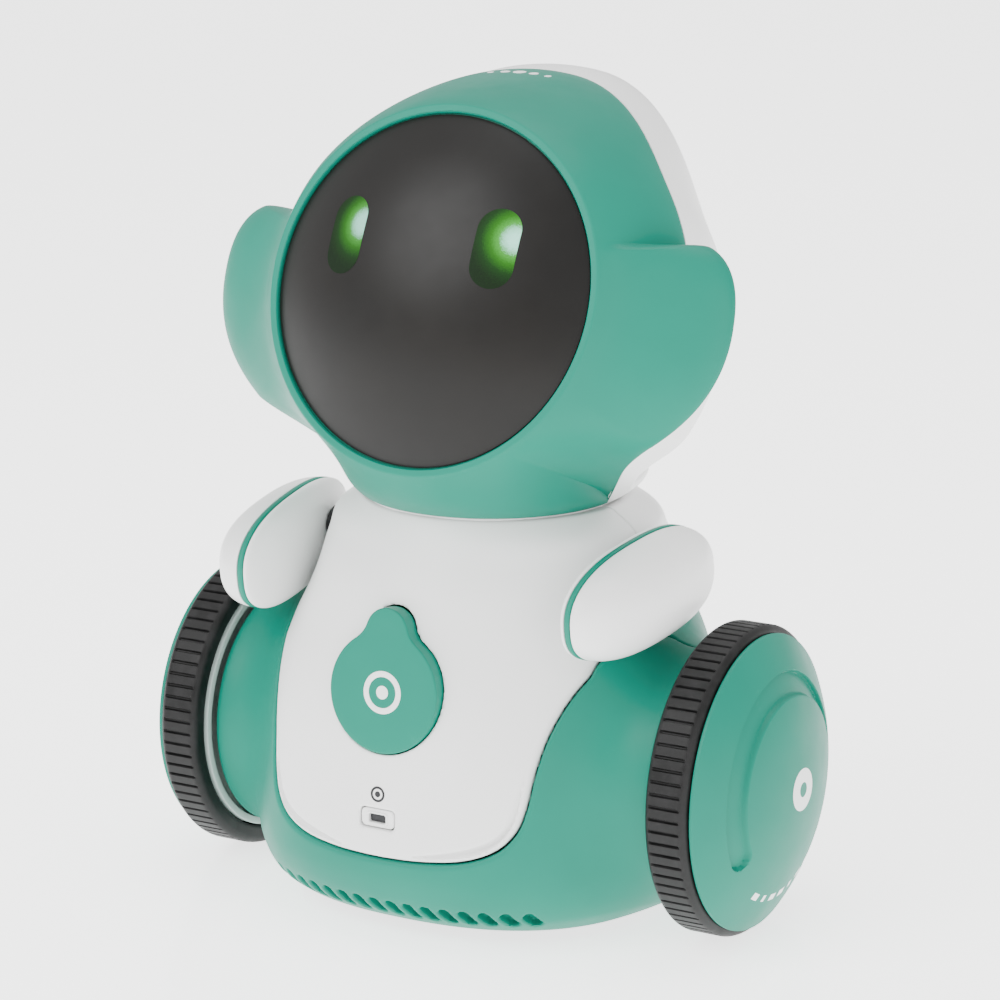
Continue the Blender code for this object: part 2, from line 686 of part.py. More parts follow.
def make_head():
    angles = meridian_angles(5, 6, 4)
    centre = tuple(head_point(0.0, 0.0, 25.0))
    front_rows = mirrored_rows(front_meridian, angles, 4)
    lip = [[head_point(head_polar(p)[0], VISOR_R, RIM_N) for p in front_rows[0]]]
    front = shell("head_front_shell", lip + front_rows, WALL, "green_plastic", True, centre)
    rear_rows = mirrored_rows(rear_meridian, angles, 6)
    rear = shell("head_rear_shell", rear_rows, WALL, "white_plastic", True, centre)
    boolean(front, seam_prism("head_front_side", True), "INTERSECT")
    boolean(rear, seam_prism("head_rear_side", False), "INTERSECT")
    visor = turned("visor", dome_profile(RIM_N - 0.6, VISOR_R - GAP, VISOR_DOME, VISOR_WALL, 4),
                   "smoked_lens", 32, head_frame())
    pieces = [front, rear, visor]
    for word, side in SIDES:
        centre_eye = Matrix.Translation((0.0, side * EYE_X, EYE_RISE))
        hole = prism("eye_hole_" + word, round_outline(EYE_HALF_WIDTH + GAP, EYE_HALF_HEIGHT + GAP,
                                                       EYE_HALF_WIDTH + GAP - 0.01, 4),
                     40.0, 80.0, None, head_frame() @ centre_eye @ LYING_ACROSS)
        boolean(visor, hole)
        lens = prism("eye_lens_" + word, round_outline(EYE_HALF_WIDTH, EYE_HALF_HEIGHT,
                                                       EYE_HALF_WIDTH - 0.01, 4),
                     40.0, 80.0, "eye_lens", head_frame() @ centre_eye @ LYING_ACROSS)
        solid = turned("visor_form_" + word,
                       dome_profile(RIM_N - 0.6, VISOR_R - GAP, VISOR_DOME, VISOR_WALL, 4),
                       None, 32, head_frame())
        boolean(lens, solid, "INTERSECT")
        pieces.append(lens)
    board = box("eye_light_board", (RIM_N - 4.0, -22.0, -6.0), (RIM_N - 2.4, 22.0, 20.0),
                "circuit_board")
    frame = head_frame()
    frame.translation *= MM
    board.data.transform(frame)
    pieces.append(board)
    place = at_point(0.0, NECK_Y, 0.0) @ UPRIGHT
    profile = ((66.0, 7.0), (66.0, 9.0), (77.8, 9.0), (77.8, 21.8), (79.6, 21.8), (79.6, 7.0))
    pieces.append(turned("neck_turntable", profile, "grey_plastic", 24, place))
    pieces.append(turned("neck_retainer", tube_profile(66.4, 68.4, 9.3, 12.0), "dark_plastic",
                         20, place))
    parent_at("head_pivot", (0.0, NECK_Y, NECK_Z), pieces)


def make_neck_plate():
    place = at_point(0.0, NECK_Y, 0.0) @ UPRIGHT
    profile = ((69.0, 9.4), (69.0, 24.0), (71.0, 24.0), (71.0, 12.0), (77.2, 12.0), (77.2, 9.4))
    turned("neck_bearing_plate", profile, "grey_plastic", 24, place)


def make_chest():
    frame = chest_frame()
    outline = nub_outline(BUTTON_R, BUTTON_NUB_R, BUTTON_NUB_Z - BUTTON_Z, BUTTON_FILLET_R)
    button = prism("chest_button", outline, -2.6, 0.9, "green_plastic", frame)
    parent_at("chest_button_pivot", tuple(frame.translation), [button])
    prism("chest_switch", round_outline(3.0, 3.0, 0.6), -9.0, -4.4, "dark_plastic", frame)
    insert = prism("record_port", round_outline(3.5, 1.65, 1.0), -3.0, 0.2, "grey_plastic",
                   upright_frame(-40.2, PORT_Z))
    slot = prism("record_slot_form", round_outline(1.85, 0.9, 0.6), -1.8, 2.0, None,
                 upright_frame(-40.2, PORT_Z))
    boolean(insert, slot)


def arm_rings(x0, x1, grow, steps, turns=24):
    """Sections of the arm's pebble form across its thickness, in arm coordinates."""
    rings = []
    for k in range(steps + 1):
        x = x0 + (x1 - x0) * k / steps
        away = (x - STRIPE_X) / ARM_OUTER_DOME
        if x < STRIPE_X:
            away = (STRIPE_X - ARM_INNER_FLAT - x) / (ARM_INNER_DOME - ARM_INNER_FLAT)
        away = min(0.985, max(0.0, away))
        scale = (1.0 - away ** DOME_CORNER) ** (1.0 / DOME_CORNER)
        ring = []
        for i in range(turns):
            a = 2.0 * math.pi * i / turns
            y = (ARM_LENGTH / 2.0 * scale + grow) * power_cos(math.cos(a), ARM_CORNER)
            z = (ARM_HALF_HEIGHT * scale + grow) * power_cos(math.sin(a), ARM_CORNER)
            ring.append(Vector((x, y, z)))
        rings.append(ring)
    return rings


def make_arm(word, side):
    """White outer and inner shells with the green stripe band between them."""
    pivot = Vector((side * ARM_X, SHOULDER_Y, SHOULDER_Z))
    place = (Matrix.Translation(pivot) @ Matrix.Rotation(ARM_PITCH, 4, "X")
             @ Matrix.Rotation(-side * ARM_TOE, 4, "Z")
             @ Matrix.Translation((0.0, -ARM_SHOULDER_BACK, 0.0)))
    pieces = []
    for name, x0, x1, grow, slot in (
            ("outer_shell", STRIPE_X + 0.75, STRIPE_X + ARM_OUTER_DOME, 0.0, "white_plastic"),
            ("stripe", STRIPE_X - 0.45, STRIPE_X + 0.45, 0.15, "green_plastic"),
            ("inner_shell", STRIPE_X - ARM_INNER_DOME, STRIPE_X - 0.75, 0.0, "white_plastic")):
        steps = 1 if name == "stripe" else 4
        rings = [[place @ Vector((side * p.x, p.y, p.z)) for p in ring]
                 for ring in arm_rings(x0, x1, grow, steps)]
        pieces.append(loft("arm_%s_%s" % (word, name), rings, slot))
    inner_pole = ARM_X + STRIPE_X - ARM_INNER_DOME
    pin = turned("shoulder_pin_" + word, rod_profile(27.0, inner_pole - 0.1, PIN_R),
                 "steel", 12, at_point(0, SHOULDER_Y, SHOULDER_Z) @ to_side(side))
    pieces.append(pin)
    parent_at("arm_%s_pivot" % word, tuple(pivot), pieces)


def gear_outline(teeth, pitch_radius):
    """Spur gear with straight-flanked teeth, thinned for backlash."""
    outer = pitch_radius + 0.85 * GEAR_MODULE
    root = pitch_radius - 1.2 * GEAR_MODULE
    pitch = 2.0 * math.pi / teeth
    points = []
    for k in range(teeth):
        for radius, share in ((root, -0.33), (outer, -0.11), (outer, 0.11), (root, 0.33)):
            a = pitch * (k + share)
            points.append((radius, a))
    return points


def make_gear(name, teeth, phase, bore, centre, side, slot):
    pitch_radius = GEAR_MODULE * teeth / 2.0
    outline = [(r * math.cos(a + phase), r * math.sin(a + phase))
               for r, a in gear_outline(teeth, pitch_radius)]
    low, high = (GEAR_X0, GEAR_X1) if side > 0 else (-GEAR_X1, -GEAR_X0)
    gear = prism(name, outline, low, high, slot, at_point(0, centre[0], centre[1]) @ LYING_ACROSS)
    hole = turned(name + "_bore_form", rod_profile(low - 1.0, high + 1.0, bore), None, 12,
                  at_point(0, centre[0], centre[1]))
    return boolean(gear, hole)


def pinion_centre():
    reach = GEAR_MODULE * (WHEEL_TEETH + PINION_TEETH) / 2.0
    return (reach * math.cos(PINION_ANGLE), WHEEL_R + reach * math.sin(PINION_ANGLE))


def two_disc_outline(c0, r0, c1, r1, steps=9):
    """Outer tangent outline around two discs."""
    dx, dy = c1[0] - c0[0], c1[1] - c0[1]
    reach = math.hypot(dx, dy)
    heading = math.atan2(dy, dx)
    lean = math.acos((r0 - r1) / reach)
    points = []
    for k in range(steps + 1):
        a = heading - lean + 2.0 * lean * k / steps
        points.append((c1[0] + r1 * math.cos(a), c1[1] + r1 * math.sin(a)))
    for k in range(2 * steps + 1):
        a = heading + lean + 2.0 * (math.pi - lean) * k / (2 * steps)
        points.append((c0[0] + r0 * math.cos(a), c0[1] + r0 * math.sin(a)))
    return points


def make_drive(word, side):
    """Motor, pinion, gearbox cup and the wheel with its gear and axle."""
    at_axle = at_point(0, 0, WHEEL_R) @ to_side(side)
    py, pz = pinion_centre()
    at_motor = at_point(0, py, pz) @ to_side(side)

    def span(x0, x1):
        return (x0, x1) if side > 0 else (-x1, -x0)

    cup = prism("gearbox_" + word, two_disc_outline((0, WHEEL_R), 17.4, (py, pz), 7.6),
                *span(GEARBOX_X0, GEARBOX_X1), "dark_plastic", LYING_ACROSS)
    room = prism("gearbox_room_" + word, two_disc_outline((0, WHEEL_R), 16.2, (py, pz), 6.6),
                 *span(GEARBOX_X0 + 1.2, GEARBOX_X1 + 1.0), None, LYING_ACROSS)
    boolean(cup, room)
    boolean(cup, turned("gearbox_axle_hole_" + word, rod_profile(20, 45, AXLE_R + 0.3), None, 12,
                        at_axle))
    boolean(cup, turned("gearbox_shaft_hole_" + word, rod_profile(20, 45, MOTOR_SHAFT_R + 0.4), None,
                        12, at_motor))
    turned("motor_" + word, tube_profile(MOTOR_X0, MOTOR_X1, MOTOR_SHAFT_R + 0.4, MOTOR_R), "steel",
           20, at_motor)
    shaft = turned("motor_shaft_" + word, rod_profile(MOTOR_X0 + 1.0, GEARBOX_X1 + 0.1, MOTOR_SHAFT_R),
                   "steel", 12, at_motor)
    meshing = PINION_ANGLE + math.pi * (1 + 1 / PINION_TEETH)
    pinion = make_gear("pinion_" + word, PINION_TEETH, meshing, MOTOR_SHAFT_R + GAP, (py, pz),
                       side, "brass")
    parent_at("pinion_%s_pivot" % word, (side * 31.0, py, pz), [shaft, pinion])

    gear = make_gear("wheel_gear_" + word, WHEEL_TEETH, PINION_ANGLE, AXLE_R + GAP, (0, WHEEL_R),
                     side, "white_plastic")
    axle = turned("axle_" + word, rod_profile(22.0, 55.5, AXLE_R), "steel", 12, at_axle)
    tyre_profile = (
        (TYRE_INNER_X, TYRE_BORE_R), (TYRE_INNER_X, WHEEL_R - 1.6),
        (TYRE_INNER_X + 0.6, WHEEL_R - 0.5),
        (TYRE_INNER_X + 1.9, WHEEL_R), (TYRE_OUTER_X - 1.9, WHEEL_R),
        (TYRE_OUTER_X - 0.6, WHEEL_R - 0.5), (TYRE_OUTER_X, WHEEL_R - 1.6), (TYRE_OUTER_X, TYRE_BORE_R))
    tyre = turned("tyre_" + word, tyre_profile, "rubber", 40, at_axle)
    rim_profile = (
        (50.8, AXLE_R + GAP), (50.8, 5.0), (52.6, 5.0), (52.6, 23.6), (48.1, 23.6), (48.1, 25.1),
        (56.6, 25.1), (56.6, 23.6), (54.4, 23.6), (54.4, 5.0), (56.4, 5.0), (56.4, AXLE_R + GAP))
    rim = turned("rim_" + word, rim_profile, "grey_plastic", 24, at_axle)
    cap_profile = dome_profile(HUBCAP_X, HUBCAP_R, HUBCAP_DOME, 1.6, 4)
    cap_profile.insert(5, (HUBCAP_X - 0.6, HUBCAP_R))
    cap_profile[6] = (HUBCAP_X - 0.6, HUBCAP_R - 1.6)
    cap = turned("hubcap_" + word, cap_profile, "green_plastic", 32, at_axle)
    parent_at("wheel_%s_pivot" % word, (side * 52.5, 0.0, WHEEL_R), [gear, axle, tyre, rim, cap])


def base_outline(inset, turns=32):
    points = (body_point(2.0 * math.pi * i / turns, HULL_BOTTOM, inset) for i in range(turns))
    return [(p.x, p.y) for p in points]


def make_base():
    plate = prism("base_plate", base_outline(WALL + GAP), 2.6, 4.4, "dark_plastic")
    door_x, door_y = BATTERY_DOOR_X, BATTERY_DOOR_Y
    boolean(plate, box("battery_door_hole", (-door_x - GAP, -door_y - GAP, 0.0),
                       (door_x + GAP, door_y + GAP, 10.0), None))
    box("battery_door", (-door_x, -door_y, 2.6), (door_x, door_y, 4.2), "dark_plastic")
    box("battery_pack", (-22.0, -12.5, 5.6), (22.0, 12.5, 14.6), "grey_plastic")
    for word, y in (("front", -CASTER_Y), ("rear", CASTER_Y)):
        boolean(plate, box("caster_hole_" + word, (-7.0, y - 6.2, 0), (7.0, y + 6.2, 10), None))
        fork = box("caster_fork_" + word, (-7.4, y - 6.9, 4.7), (7.4, y + 6.9, 12.6), "grey_plastic")
        boolean(fork, box("caster_room_" + word, (-4.6, y - 5.7, 0), (4.6, y + 5.7, 11.2), None))
        boolean(fork, turned("caster_axle_hole_" + word, rod_profile(-9, 9, 1.1), None, 16,
                             at_point(0, y, CASTER_R)))
        roller = turned("caster_roller_" + word,
                        ((-6.6, 0.0), (-6.6, 0.8), (-4.0, 0.8), (-4.0, CASTER_R - 0.8),
                         (-3.0, CASTER_R), (3.0, CASTER_R), (4.0, CASTER_R - 0.8), (4.0, 0.8),
                         (6.6, 0.8), (6.6, 0.0)),
                        "dark_plastic", 16, at_point(0, y, CASTER_R))
        parent_at("caster_%s_pivot" % word, (0.0, y, CASTER_R), [roller])
    spots = [(x, y) for y in (-SCREW_Y, SCREW_Y) for x in (-SCREW_X, SCREW_X)]
    for k, (x, y) in enumerate(spots):
        hole = turned("screw_hole_%d" % k, rod_profile(0, 10, SCREW_R + GAP), None, 8,
                      at_point(x, y, 0) @ UPRIGHT)
        boolean(plate, hole)
        turned("base_screw_%d" % (k + 1), rod_profile(2.7, 9.0, SCREW_R), "steel", 8,
               at_point(x, y, 0) @ UPRIGHT)


def make_electronics():
    prism("main_board", round_outline(25.0, 18.0, 3.0), 56.0, 57.6, "circuit_board")
    forward = Matrix.Rotation(-math.pi / 2.0, 4, "Z")
    turned("speaker", ((26.0, 0.0), (26.0, 7.0), (29.0, 11.0), (32.0, 11.0), (32.0, 0.0)),
           "dark_plastic", 20, at_point(0, 0, 25.0) @ forward)
    rear_y = body_point(math.pi, 18.0).y
    knob = box("power_switch_knob", (-9.9, rear_y - 3.4, 15.8), (-6.9, rear_y, 18.2), "dark_plastic")
    parent_at("power_switch_pivot", (-8.4, rear_y, 17.0), [knob])
    rear = bpy.data.objects["hull_rear_shell"]
    boolean(rear, box("switch_slot_form", (-10.2, rear_y - 6, 15.5), (-3.6, rear_y + 3, 18.5), None))
    boolean(rear, box("socket_hole_form", (3.2, rear_y - 6, 15.0), (12.2, rear_y + 3, 19.0), None))
    socket = box("charge_socket", (3.5, rear_y - 6.0, 15.3), (11.9, rear_y - 0.3, 18.7), "steel")
    boolean(socket, box("socket_mouth_form", (4.2, rear_y - 5.0, 16.0),
                        (11.2, rear_y + 3, 18.0), None))


def main():
    clear_scene()
    make_hull()
    make_torso()
    make_head()
    make_neck_plate()
    make_chest()
    for word, side in SIDES:
        make_arm(word, side)
        make_drive(word, side)
    make_base()
    make_electronics()


main()
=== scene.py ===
"""Looks of the two-wheel robot car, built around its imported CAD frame.

Sizes are millimetres in the robot's frame (+Z up, the robot faces -Y, its own left
is +X) and become metres in piece().  Smooth casings that join, such as the hull
and its round hips, are described as distance fields and meshed by field_mesh();
everything turned or swept is a grid of points.
"""
import math

import bmesh
import bpy
import numpy as np
from mathutils import Matrix, Vector


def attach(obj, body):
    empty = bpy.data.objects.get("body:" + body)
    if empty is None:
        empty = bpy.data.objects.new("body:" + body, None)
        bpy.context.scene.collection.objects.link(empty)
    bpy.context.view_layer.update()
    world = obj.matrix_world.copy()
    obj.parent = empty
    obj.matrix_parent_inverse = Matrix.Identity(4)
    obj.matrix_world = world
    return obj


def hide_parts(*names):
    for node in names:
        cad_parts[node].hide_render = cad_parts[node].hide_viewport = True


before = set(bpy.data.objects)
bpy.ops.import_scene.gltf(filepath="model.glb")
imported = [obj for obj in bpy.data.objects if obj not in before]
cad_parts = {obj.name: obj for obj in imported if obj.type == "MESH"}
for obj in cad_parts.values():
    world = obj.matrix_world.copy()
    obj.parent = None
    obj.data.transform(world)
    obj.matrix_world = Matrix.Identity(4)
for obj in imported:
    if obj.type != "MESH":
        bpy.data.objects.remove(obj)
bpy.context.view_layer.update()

MM = 0.001
COARSE = 1.0

# Body, as in the CAD; each section is height, half width, front depth, rear depth
BODY_SECTIONS = np.array((
    (2.3, 37.1, 33.0, 33.0), (6.0, 40.3, 37.8, 37.8), (11.6, 42.3, 40.6, 40.6),
    (17.4, 42.8, 41.2, 41.2), (26.0, 42.3, 40.6, 40.6), (36.3, 41.2, 39.4, 39.6),
    (48.4, 39.2, 37.4, 38.6), (58.0, 35.4, 34.8, 37.0), (64.0, 33.2, 32.3, 35.9),
    (69.6, 32.0, 29.0, 34.4), (73.5, 31.0, 26.6, 32.4), (77.0, 26.2, 24.2, 27.5)))
BODY_TOP = 77.0
HULL_BOTTOM = 2.3
HULL_TOP = 54.4
WALL = 1.8
GAP = 0.3                      # between neighbouring mouldings
SEAM = 0.15                    # half the gap between front and rear shells
SKIN = 0.03                    # keeps the moulded faces inside the solid model's box
EDGE = 0.45                    # rounding of moulded edges
NECK_Y = 1.0
NECK_R = 24.5
NECK_Z = 77.4
POD_R = 23.8
POD_X = 47.6
POD_BLEND = 7.0                # how softly the hips join the body
# Lower edge of the chest panel, from the middle out: x and height
PANEL_OUTLINE = ((0.0, 16.5), (9.0, 16.8), (17.0, 17.8), (22.5, 20.0), (25.6, 23.5),
                 (27.0, 28.0), (28.0, 35.0), (29.6, 42.5), (32.2, 49.5), (36.0, 54.0),
                 (60.0, 55.0))
SHOULDER_Z = 66.6
# Power switch slot and charging socket: x from and to, height from and to
BACK_OPENINGS = ((-10.2, -3.6, 15.5, 18.5), (3.2, 12.2, 15.0, 19.0))
PIN_HOLE_R = 2.4               # holes for the axles and the shoulder pins

# Vents along the front of the hull's lower edge
BASE_TOP = 4.6                 # the hull's wall is thin beside the base plate
VENT_COUNT = 16
VENT_SPAN = 27.0
VENT_Z = 5.9
VENT_HALF_LENGTH = 1.25
VENT_R = 1.15
VENT_TOP = 11.0                # no vent reaches above this height
VENT_SLANT = math.radians(18.0)
VENT_DEPTH = 2.0

# Chest
BUTTON_Z = 47.3
BUTTON_R = 11.3
NUB_R = 4.4
NUB_OFFSET = 11.1
NUB_FILLET_R = 6.0             # hollow curves where the nub meets the disc
CHEST_LEAN = math.radians(7.0)
PORT_Z = 24.0
LABEL_Z = 28.6

# Wheels
WHEEL_R = 29.0
TYRE_INNER_X = 48.4
TYRE_OUTER_X = 56.7
TYRE_BORE_R = 25.4
TREAD_PADS = 80
TREAD_DEPTH = 0.55
HUBCAP_R = 27.6
HUBCAP_X = 57.6
HUBCAP_DOME = 8.7
HUBCAP_SPHERE = (HUBCAP_R ** 2 + HUBCAP_DOME ** 2) / (2.0 * HUBCAP_DOME)
HUBCAP_WALL = 1.9
HUBCAP_GROOVE_R = 19.1
HUBCAP_GROOVE_DEPTH = 1.05

# Head: a helmet about a tilted axis that leaves through the visor
HEAD_TILT = math.radians(17.5)
HEAD_AXIS_S = 106.8
RIM_N = 56.0
SEAM_N = 41.2                  # seam between the shells, at the ears
SEAM_STEP = 4.6                # the seam steps back above the ears
SEAM_RUN = 7.9                 # and runs further back towards the crown
REAR_N = -3.0
VISOR_R = 32.5
RIM_BAND = 1.45
VISOR_DOME = 9.0
HEAD_BASE_R = 44.4
TEMPLE_DROP = 1.8              # the seam's radius drops above the ears
CROWN_RISE = 3.5               # and grows towards the crown
TEMPLE_DEG = 16.6              # polar angle where the drop and the step begin
TEMPLE_RUN_DEG = 3.0
EAR_RISE = 9.8
EAR_TOP_POWERS = (3.0, 0.6)    # a blunt top
EAR_BOTTOM_POWERS = (2.2, 2.2)  # and a long soft tail
EAR_TAPER = 13.0               # how far behind the seam the ears fade out
EAR_TOP_DEG = 19.0
EAR_BOTTOM_DEG = -42.0
SEAM_LOW_DEG = -28.0
EYE_X = 15.5
EYE_RISE = 7.95
EYE_HALF_WIDTH = 4.05
EYE_HALF_HEIGHT = 7.55
GLOW_REACH = 10.0              # how far an eye's glow reaches from its hot spot
HELMET_WALL = 1.6

# Arms
ARM_X = 40.7
ARM_LENGTH = 42.5
ARM_HALF_HEIGHT = 9.7
ARM_CORNER = 2.5               # superellipse exponent of the arm's outline
DOME_CORNER = 2.3              # and of its domes
ARM_OUTER_DOME = 9.8           # from the stripe to the outer pole
ARM_INNER_FLAT = 1.0           # straight wall before the inner dome
ARM_INNER_DOME = 3.2           # from the stripe to the inner pole
ARM_PITCH = math.radians(7.5)
ARM_TOE = math.radians(5.7)
ARM_SHOULDER_BACK = 12.0
STRIPE_X = -2.6
STRIPE_HALF = 0.55

SIDES = (("left", 1.0), ("right", -1.0))
LIGHTS_AIM = (0.0, 0.0, 0.08)
FLOOR_GLOW = 2.5               # the floor's own light, for the near-white background
UPRIGHT = Matrix.Rotation(-math.pi / 2.0, 4, "Y")   # turns a profile's axis from X to up


# ---------------------------------------------------------------- materials

class Surface:
    """One procedural material: its shader, object coordinates and ways to add nodes."""

    def __init__(self, name):
        self.mat = bpy.data.materials.new(name)
        self.mat.use_nodes = True
        self.nodes = self.mat.node_tree.nodes
        self.shader = self.nodes["Principled BSDF"]
        self.coords = self.nodes.new("ShaderNodeTexCoord").outputs["Object"]

    def feed(self, node, inputs):
        """Link the inputs whose value is another node's output and set the others."""
        for name, value in inputs.items():
            if isinstance(value, bpy.types.NodeSocket):
                self.mat.node_tree.links.new(value, node.inputs[name])
            else:
                node.inputs[name].default_value = value

    def shade(self, inputs):
        self.feed(self.shader, inputs)

    def add(self, kind, output, inputs, **settings):
        node = self.nodes.new("ShaderNode" + kind)
        for name, value in settings.items():
            setattr(node, name, value)
        self.feed(node, inputs)
        return node.outputs[output]

    def noise(self, scale, detail=4.0):
        return self.add("TexNoise", "Fac", {"Scale": scale, "Detail": detail,
                                            "Vector": self.coords})

    def math(self, operation, a, b):
        return self.add("Math", "Value", {0: a, 1: b}, operation=operation)

    def ramp(self, value, stops):
        """Colour ramp from (position, colour) stops."""
        node = self.nodes.new("ShaderNodeValToRGB")
        elements = node.color_ramp.elements
        while len(elements) < len(stops):
            elements.new(0.5)
        for element, (position, colour) in zip(elements, stops):
            element.position = position
            element.color = (*colour, 1.0)
        self.feed(node, {"Fac": value})
        return node.outputs["Color"]

    def remap(self, value, low, high):
        """Spread a noise, which mostly lies between 0.3 and 0.7, over another range."""
        return self.add("MapRange", "Result", {"From Min": 0.3, "From Max": 0.7, "To Min": low,
                                               "To Max": high, "Value": value})

    def bump(self, scale, detail, strength, distance):
        """Fine noise in the surface; the distance is in metres."""
        height = self.noise(scale, detail)
        self.shade({"Normal": self.add("Bump", "Normal", {
            "Strength": strength, "Distance": distance, "Height": height})})


def worn_edges(look, base, colour, amount):
    """Convex edges rub a little paler."""
    pointed = look.nodes.new("ShaderNodeNewGeometry").outputs["Pointiness"]
    wear = look.add("MapRange", "Result", {"From Min": 0.52, "From Max": 0.62, "To Max": amount,
                                           "Value": pointed})
    pale = (*(min(1.0, c * 1.5 + 0.05) for c in colour), 1.0)
    return look.add("Mix", "Result", {"B": pale, "Factor": wear, "A": base}, data_type="RGBA")


def moulded(name, colour, roughness, grain=0.05, spread=0.05, coat=0.0, edge=0.0, gloss=0.28):
    """Injection-moulded plastic: fine texture, faint flow clouding, uneven gloss."""
    look = Surface(name)
    dark = tuple(c * (1.0 - spread) for c in colour)
    light = tuple(min(1.0, c * (1.0 + spread)) for c in colour)
    base = look.ramp(look.noise(45.0, 3.0), ((0.35, dark), (0.65, light)))
    if edge > 0.0:
        base = worn_edges(look, base, colour, edge)
    smears = look.remap(look.noise(160.0, 5.0), roughness - 0.04, roughness + 0.04)
    look.shade({"Base Color": base, "Roughness": smears, "Specular IOR Level": gloss,
                "Coat Weight": coat, "Coat Roughness": 0.25})
    look.bump(3500.0, 2.0, grain, 0.00005)
    return look.mat


def rubber_material():
    """Soft black rubber with moulding grain and dusty grey high spots."""
    look = Surface("rubber_black")
    dust = look.noise(380.0, 8.0)
    base = look.ramp(dust, ((0.42, (0.006, 0.006, 0.006)), (0.8, (0.016, 0.0155, 0.016))))
    look.shade({"Base Color": base, "Roughness": look.remap(dust, 0.42, 0.58),
                "Specular IOR Level": 0.22})
    look.bump(2600.0, 4.0, 0.12, 0.00008)
    return look.mat


def visor_material():
    """Smoked acrylic: nearly black, with a brown depth and a satin sheen."""
    look = Surface("visor_smoked")
    base = look.ramp(look.noise(30.0, 2.0), ((0.3, (0.006, 0.0057, 0.0054)),
                                             (0.7, (0.0085, 0.0075, 0.0066))))
    look.shade({"Base Color": base, "Roughness": look.remap(look.noise(220.0, 6.0), 0.36, 0.42),
                "Specular IOR Level": 0.2, "Coat Weight": 0.04, "Coat Roughness": 0.25})
    look.bump(1800.0, 2.0, 0.02, 0.00003)
    return look.mat


def glow_material(name, hot, strength):
    """LED behind smoked plastic: a hot spot that falls off to dark green, grainy."""
    look = Surface(name)
    away = look.add("VectorMath", "Value", {0: look.coords, 1: tuple(hot * MM)},
                    operation="DISTANCE")
    fall = look.add("MapRange", "Result", {"From Max": GLOW_REACH * MM, "To Min": 1.0,
                                           "To Max": 0.0, "Value": away},
                    interpolation_type="SMOOTHERSTEP")
    grain = look.math("SUBTRACT", look.noise(5200.0, 1.0), 0.5)
    field = look.math("ADD", fall, look.math("MULTIPLY", grain, 0.22))
    colour = look.ramp(field, (
        (0.0, (0.002, 0.012, 0.001)), (0.25, (0.008, 0.07, 0.004)), (0.55, (0.04, 0.30, 0.01)),
        (0.80, (0.12, 0.70, 0.08)), (0.97, (0.9, 2.0, 1.6))))
    look.shade({"Emission Color": colour, "Emission Strength": strength,
                "Base Color": (0.005, 0.01, 0.005, 1.0), "Roughness": 0.5,
                "Specular IOR Level": 0.08})
    return look.mat


def metal(name, colour, roughness):
    """Metal with fine streaks in its colour and gloss."""
    look = Surface(name)
    streaks = look.noise(900.0, 6.0)
    dark = tuple(c * 0.85 for c in colour)
    look.shade({"Base Color": look.ramp(streaks, ((0.3, dark), (0.7, colour))), "Metallic": 1.0,
                "Roughness": look.remap(streaks, roughness - 0.06, roughness + 0.08)})
    return look.mat


def board_material():
    """Circuit board: solder mask with a faint grid of tracks."""
    look = Surface("circuit_board_green")
    tracks = look.add("TexBrick", "Color", {
        "Scale": 260.0, "Mortar Size": 0.04, "Color1": (0.010, 0.12, 0.045, 1.0),
        "Color2": (0.012, 0.15, 0.055, 1.0), "Mortar": (0.03, 0.26, 0.09, 1.0),
        "Vector": look.coords})
    look.shade({"Base Color": tracks, "Roughness": look.remap(look.noise(400.0), 0.3, 0.5)})
    return look.mat


GREEN = moulded("plastic_green", (0.001, 0.185, 0.126), 0.42, 0.06, 0.035, 0.0, 0.05, 0.16)
WHITE = moulded("plastic_white", (0.87, 0.87, 0.865), 0.36, 0.04, 0.012, 0.2)
PRINT = moulded("print_white", (0.88, 0.88, 0.88), 0.5, 0.05, 0.02)
INK = moulded("print_black", (0.02, 0.02, 0.022), 0.5, 0.05, 0.1)
GREY = moulded("plastic_grey", (0.42, 0.50, 0.475), 0.42, 0.05, 0.03)
# black plastic of the arm collars; it also paints the shade inside the record port's slot
DARK = moulded("plastic_black_and_slot_shade", (0.018, 0.018, 0.02), 0.45, 0.08, 0.1)
CHARCOAL = moulded("plastic_charcoal", (0.07, 0.07, 0.075), 0.5, 0.1, 0.08)
RUBBER = rubber_material()
VISOR = visor_material()
STEEL = metal("steel_bright", (0.62, 0.62, 0.64), 0.32)
BRASS = metal("brass_turned", (0.72, 0.52, 0.22), 0.34)
BOARD = board_material()

NODE_MATERIALS = {
    "green_plastic": GREEN, "white_plastic": WHITE, "rubber": RUBBER, "smoked_lens": VISOR,
    "grey_plastic": GREY, "eye_lens": GREEN, "circuit_board": BOARD, "steel": STEEL,
    "brass": BRASS, "dark_plastic": CHARCOAL,
}


def dress_cad_nodes():
    """Every CAD node gets the detailed material of its slot."""
    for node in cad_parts.values():
        for socket in node.material_slots:
            name = socket.material.name.split(".")[0]
            if name in NODE_MATERIALS:
                socket.material = NODE_MATERIALS[name]


# ---------------------------------------------------------------- mesh helpers

